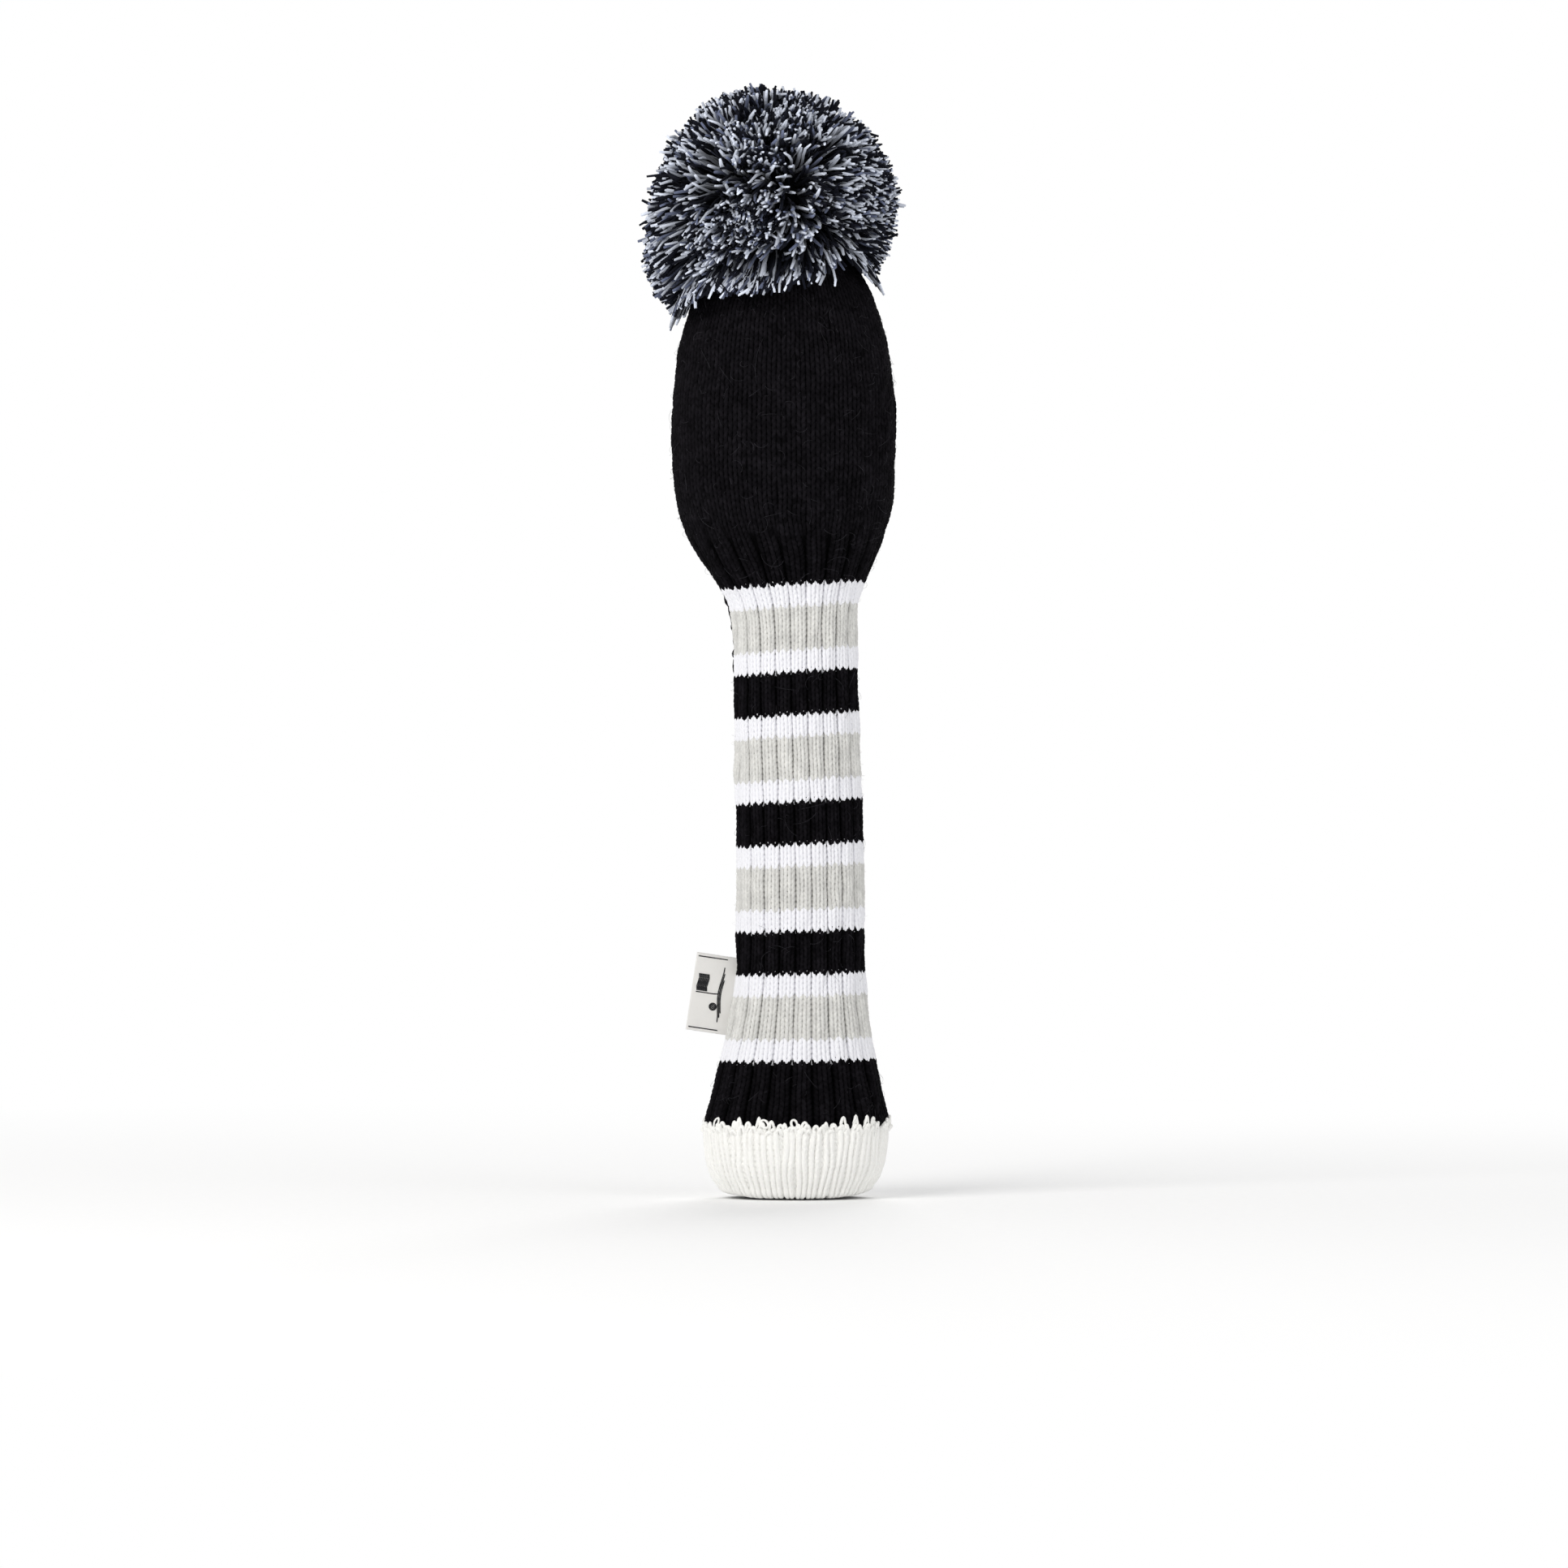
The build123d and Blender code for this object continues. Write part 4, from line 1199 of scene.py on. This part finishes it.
class COVER_OT_yarns(bpy.types.Operator):
    """Sew the side seam, draw the crown shut and tie the pom-pom on"""

    bl_idname = "cover.yarns"
    bl_label = "Sew the seam and the ties"

    def execute(self, context):
        sleeve = sock_sleeve()
        add_piece("seam_plait", seam_skins(sleeve), "black_yarn", "black_yarn", "cover", "side_seam")
        low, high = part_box("stripe_1_white_lower")[0].z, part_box("stripe_1_white_upper")[1].z
        add_piece("carried_yarn", float_skins(sleeve, low, high), "black_yarn", "black_yarn", "cover")
        self.gather()
        self.knot()
        self.tie()
        self.binding()
        return {"FINISHED"}

    def gather(self):
        """The yarn drawn round the crown's last course."""
        low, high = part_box("crown_gather_yarn")
        thick = (high.z - low.z) / 2
        radius = (high.x - low.x) / 2 - thick
        turn = np.arange(90) * 2 * math.pi / 90
        lift = low.z + thick + 0.15 * MM * np.sin(turn * 9)
        path = np.stack([(low.x + high.x) / 2 + radius * np.cos(turn), radius * np.sin(turn), lift], axis=1)
        skins = plied(path, thick * 0.8, 2, 9, True)
        add_piece("gathering_yarn", skins, "black_yarn", "black_yarn", "cover", "crown_gather_yarn")

    def knot(self):
        """The knot under the crown, with the tie's two ends up through it."""
        low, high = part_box("tie_anchor")
        middle = (low.x + high.x) / 2
        reach, radius = (high.x - low.x) / 2, 0.85 * MM
        turn = np.arange(160) * 2 * math.pi / 160
        ring = (reach - radius) / 3 * (2 + np.cos(3 * turn))
        rise = 0.8 * MM * np.sin(3 * turn) + (low.z + 1.7 * MM)
        knot = np.stack([middle + ring * np.cos(2 * turn), ring * np.sin(2 * turn), rise], axis=1)
        skins = plied(knot, radius, 2, 16, True)
        skins += plied(upright_path(middle, low.z + 1.5 * MM, high.z), 1.5 * MM, 4, 1.5, False)
        add_piece("crown_knot", skins, "black_yarn", "black_yarn", "cover", "tie_anchor")

    def tie(self):
        """The short doubled yarn that the pom-pom stands on."""
        low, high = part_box("pompom_tie")
        path = upright_path((low.x + high.x) / 2, low.z, high.z)
        skins = plied(path, (high.x - low.x) / 2, 4, 1.2, False)
        add_piece("tie_yarn", skins, "black_strand", "pompom_yarn", "pompom_tie", "pompom_tie")

    def binding(self):
        """Yarn wound in two layers round the strands' waist."""
        low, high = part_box("pompom_binding")
        middle = (low.x + high.x) / 2
        skins = []
        for reach, thick, turns, way in ((4.2, 0.75, 6, 1), (3.0, 0.8, 5, -1), (1.4, 0.9, 5, 1)):
            angle = np.linspace(0, turns * 2 * math.pi, turns * 36)
            rise = np.linspace(low.z + thick * MM, high.z - thick * MM, len(angle))
            across = reach * MM * np.cos(angle)
            path = np.stack([middle + across, way * reach * MM * np.sin(angle), rise], axis=1)
            skins += plied(path, thick * MM, 2, turns * 6, False)
        add_piece("wound_binding", skins, "black_strand", "pompom_yarn", "pompom", "pompom_binding")


# ---------------------------------------------------------------- the label


def label_frame():
    """Middle of the label's hinge, the way outwards and the way up along the seam."""
    joint = next(joint for joint in frame["joints"] if joint["name"] == "label_flap")
    hinge = np.array(joint["pos_m"])
    up = np.array(joint["axis"])
    outwards = np.array([-up[2], 0, up[0]])
    return hinge, outwards, up


class COVER_OT_label(bpy.types.Operator):
    """Fold the ribbon label into the seam and stitch a small flag and ball on it"""

    bl_idname = "cover.label"
    bl_label = "Make the label"

    root = 4.4 * MM
    reach = 12.8 * MM
    half = 13.5 * MM
    fold = 0.3 * MM
    thick = 0.42 * MM
    wave = 0.45 * MM
    bend = 1.3 * MM

    def execute(self, context):
        hinge, outwards, up = label_frame()
        self.axes = (hinge, outwards, up)
        outline = self.outline()
        rises = np.linspace(-self.half, self.half, 60)
        grid = np.empty((len(rises), len(outline), 3))
        draw = np.random.default_rng(9)
        fray = draw.uniform(0, 0.16 * MM, (2, len(outline)))
        for row, rise in enumerate(rises):
            end = 0 if row not in (0, len(rises) - 1) else (1 if row == 0 else -1)
            for column, (out, side) in enumerate(outline):
                slip = end * fray[0 if row == 0 else 1, column]
                grid[row, column] = self.at(out, rise + slip, side)
        points, faces = sheet_skin(grid)
        number = len(outline)
        strip = np.arange(number // 2)
        inner, outer = strip, number - 1 - strip
        for base, flip in ((0, True), ((len(rises) - 1) * number, False)):
            quads = np.stack([inner[:-1], inner[1:], outer[1:], outer[:-1]], axis=1) + base
            faces.append(quads if flip else quads[:, ::-1])
        piece = new_piece("label_folded_ribbon", points, faces)
        piece.data.materials.append(materials()["label_ribbon"])
        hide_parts("label_ribbon", "label_tab")
        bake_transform(piece)
        add_piece("label_stitching", self.emblem(), "thread", "label_ribbon", "label")
        return {"FINISHED"}

    def at(self, out, rise, side):
        """A point of the label: outwards from the hinge, up along it and to the back."""
        hinge, outwards, up = self.axes
        wave = self.wave * math.sin(rise / MM * 0.16 + 0.6) * max(out, 0) / self.reach
        return hinge + outwards * out + up * rise + np.array([0, 1, 0]) * (side + wave)

    def outline(self):
        """Section of the folded ribbon, as a loop of outwards and sideways sizes."""
        outer = self.fold + self.thick / 2
        inner = self.fold - self.thick / 2
        straight = np.linspace(-self.root, self.reach - outer, 34)
        bend = np.linspace(-math.pi / 2, math.pi / 2, 10)[1:-1]
        shell = [(out, -outer) for out in straight]
        shell += [(self.reach - outer + outer * math.cos(a), outer * math.sin(a)) for a in bend]
        shell += [(out, outer) for out in straight[::-1]]
        core = [(out, inner) for out in straight]
        core += [(self.reach - outer + inner * math.cos(a), -inner * math.sin(a)) for a in bend]
        core += [(out, -inner) for out in straight[::-1]]
        return shell + core

    def emblem(self):
        """Raised stitches on both faces: a flag on its stick, a ball, the ground and two borders."""
        lines = [[(3.4, 0.2), (5.2, 0.0), (9.3, 0.0), (11.2, 0.0)]]
        for step in range(9):
            top = 10.9 - 0.42 * step
            lines.append([(top, 0.5), (top + 0.25, 2.0), (top, 3.5), (top - 0.25, 5.0), (top, 6.4)])
        turn = np.linspace(0, 2 * math.pi, 25)
        for radius in (0.35, 0.8, 1.2):
            lines.append([(4.7 + radius * math.cos(a), -4.4 + radius * math.sin(a)) for a in turn])
        for row in range(3):
            across = np.linspace(-9.5 + 1.6 * row, 9.5 - 2.2 * row, 15)
            lines.append([(3.0 - 0.45 * row + 0.5 * math.cos(x * 0.33), x) for x in across])
        lines += [[(1.9, 12.3 * end), (12.0, 12.3 * end)] for end in (-1, 1)]
        skins = []
        for face in (-1, 1):
            side = face * (self.fold + self.thick / 2 + 0.02 * MM)
            for line in lines:
                line = np.array(line) * MM
                share = np.linspace(0, len(line) - 1, max(2, 14 * (len(line) - 1) // 2))
                outs = np.interp(share, np.arange(len(line)), line[:, 0])
                rises = np.interp(share, np.arange(len(line)), line[:, 1])
                path = np.array([self.at(out, face * -rise, side) for out, rise in zip(outs, rises)])
                skins += plied(path, 0.2 * MM, 1, 0, False, sides=6)
        return skins


# ---------------------------------------------------------------- the stage


def area_light(aim, name, place, size, power, colour):
    """A soft square lamp that faces a point."""
    lamp = bpy.data.lights.new(name, "AREA")
    lamp.size, lamp.energy, lamp.color = size, power, colour
    lit = bpy.data.objects.new(name, lamp)
    lit.location = place
    lit.rotation_euler = (Vector(aim) - Vector(place)).to_track_quat("-Z", "Y").to_euler()
    bpy.context.scene.collection.objects.link(lit)


class COVER_OT_stage(bpy.types.Operator):
    """Set the pale floor, the soft lights and the camera"""

    bl_idname = "cover.stage"
    bl_label = "Set the stage"

    lamps = (
        ("key", (-0.9, -1.0, 0.9), 0.9, 13.5, (1.0, 0.99, 0.97)),
        ("fill", (1.1, -1.0, 0.4), 1.0, 5, (1, 1, 1)),
        ("back", (0.2, 1.2, 0.9), 0.8, 7, (1, 1, 1)),
    )
    distance = 2.4
    view_width = 0.541
    view_side = -0.0039
    view_share = 0.3685
    rings = (30, 5, 2, 1, 0.6, 0.3, 0.05)
    spokes = 96

    def execute(self, context):
        scene = context.scene
        low, high = (Vector(corner) for corner in CAD_BOX)
        middle = (low + high) / 2
        self.camera(scene, low, high)
        self.world(scene)
        self.floor(low.z)
        for lamp in self.lamps:
            area_light(middle, *lamp)
        scene.view_settings.view_transform = "Standard"
        return {"FINISHED"}

    def camera(self, scene, low, high):
        """A long lens, level, square to the front."""
        lens = bpy.data.cameras.new("camera")
        lens.sensor_width = 36
        lens.lens = lens.sensor_width * self.distance / self.view_width
        seat = bpy.data.objects.new("camera", lens)
        seat.location = (self.view_side, -self.distance, low.z + self.view_share * (high.z - low.z))
        seat.rotation_euler = (math.pi / 2, 0, 0)
        scene.collection.objects.link(seat)
        scene.camera = seat

    def world(self, scene):
        """White to look at, and a softer light than that on the cover."""
        world = bpy.data.worlds.new("studio")
        world.use_nodes = True
        tree = world.node_tree
        back = tree.nodes["Background"]
        back.inputs["Color"].default_value = (1, 1, 1, 1)
        seen = add_node(tree, "ShaderNodeLightPath").outputs["Is Camera Ray"]
        tree.links.new(map_range(tree, seen, 0.55, 1.0), back.inputs["Strength"])
        scene.world = world

    def floor(self, level):
        """A wide pale disc that fades into the white round it."""
        turns = np.arange(self.spokes) * 2 * math.pi / self.spokes
        x, y = np.outer(self.rings, np.cos(turns)), np.outer(self.rings, np.sin(turns))
        points, faces = sheet_skin(np.stack([x, y, 0 * x], axis=2))
        faces.append((len(self.rings) - 1) * self.spokes + np.arange(self.spokes)[None])
        floor = new_piece("floor", points, faces)
        floor.location.z = level - 0.2 * MM
        material = bpy.data.materials.new("Pale floor")
        material.use_nodes = True
        tree = material.node_tree
        shader = tree.nodes["Principled BSDF"]
        place = add_node(tree, "ShaderNodeTexCoord").outputs["Object"]
        away = add_node(tree, "ShaderNodeVectorMath", {0: place}, operation="LENGTH").outputs["Value"]
        fade = map_range(tree, away, 0.0, 1.0, start=0.1, end=0.75)
        grain = add_node(tree, "ShaderNodeTexNoise", {"Vector": place, "Scale": 300.0}).outputs["Fac"]
        tree.links.new(map_range(tree, grain, 0.9, 0.94), shader.inputs["Base Color"])
        shader.inputs["Roughness"].default_value = 0.9
        glow = add_node(tree, "ShaderNodeEmission", {"Color": (1, 1, 1, 1), "Strength": 1.0})
        mixed = add_node(tree, "ShaderNodeMixShader", {0: fade, 1: shader.outputs[0], 2: glow.outputs[0]})
        tree.links.new(mixed.outputs[0], tree.nodes["Material Output"].inputs["Surface"])
        floor.data.materials.append(material)


# ---------------------------------------------------------------- the add-on


class COVER_PT_panel(bpy.types.Panel):
    """Sizes, colours and steps of the head cover"""

    bl_label = "Head cover"
    bl_idname = "COVER_PT_panel"
    bl_space_type = "VIEW_3D"
    bl_region_type = "UI"
    bl_category = "Head cover"

    def draw(self, context):
        scene = context.scene
        for group in (scene.knit_sizes, scene.pompom_sizes, scene.cover_colours):
            box = self.layout.box()
            for name in group.__annotations__:
                box.prop(group, name)
        for operator in OPERATORS:
            self.layout.operator(operator.bl_idname)


OPERATORS = (
    COVER_OT_stage,
    COVER_OT_knit_sock,
    COVER_OT_knit_cuff,
    COVER_OT_linings,
    COVER_OT_yarns,
    COVER_OT_label,
    COVER_OT_pompom,
)
GROUPS = (("knit_sizes", KnitSizes), ("pompom_sizes", PompomSizes), ("cover_colours", CoverColours))


def register():
    for name, group in GROUPS:
        bpy.utils.register_class(group)
        setattr(bpy.types.Scene, name, bpy.props.PointerProperty(type=group))
    for operator in OPERATORS:
        bpy.utils.register_class(operator)
    bpy.utils.register_class(COVER_PT_panel)


def unregister():
    bpy.utils.unregister_class(COVER_PT_panel)
    for operator in reversed(OPERATORS):
        bpy.utils.unregister_class(operator)
    for name, group in reversed(GROUPS):
        delattr(bpy.types.Scene, name)
        bpy.utils.unregister_class(group)


def main():
    """Make every piece."""
    register()
    for operator in OPERATORS:
        getattr(bpy.ops.cover, operator.bl_idname.split(".")[1])()


if __name__ == "__main__":
    main()
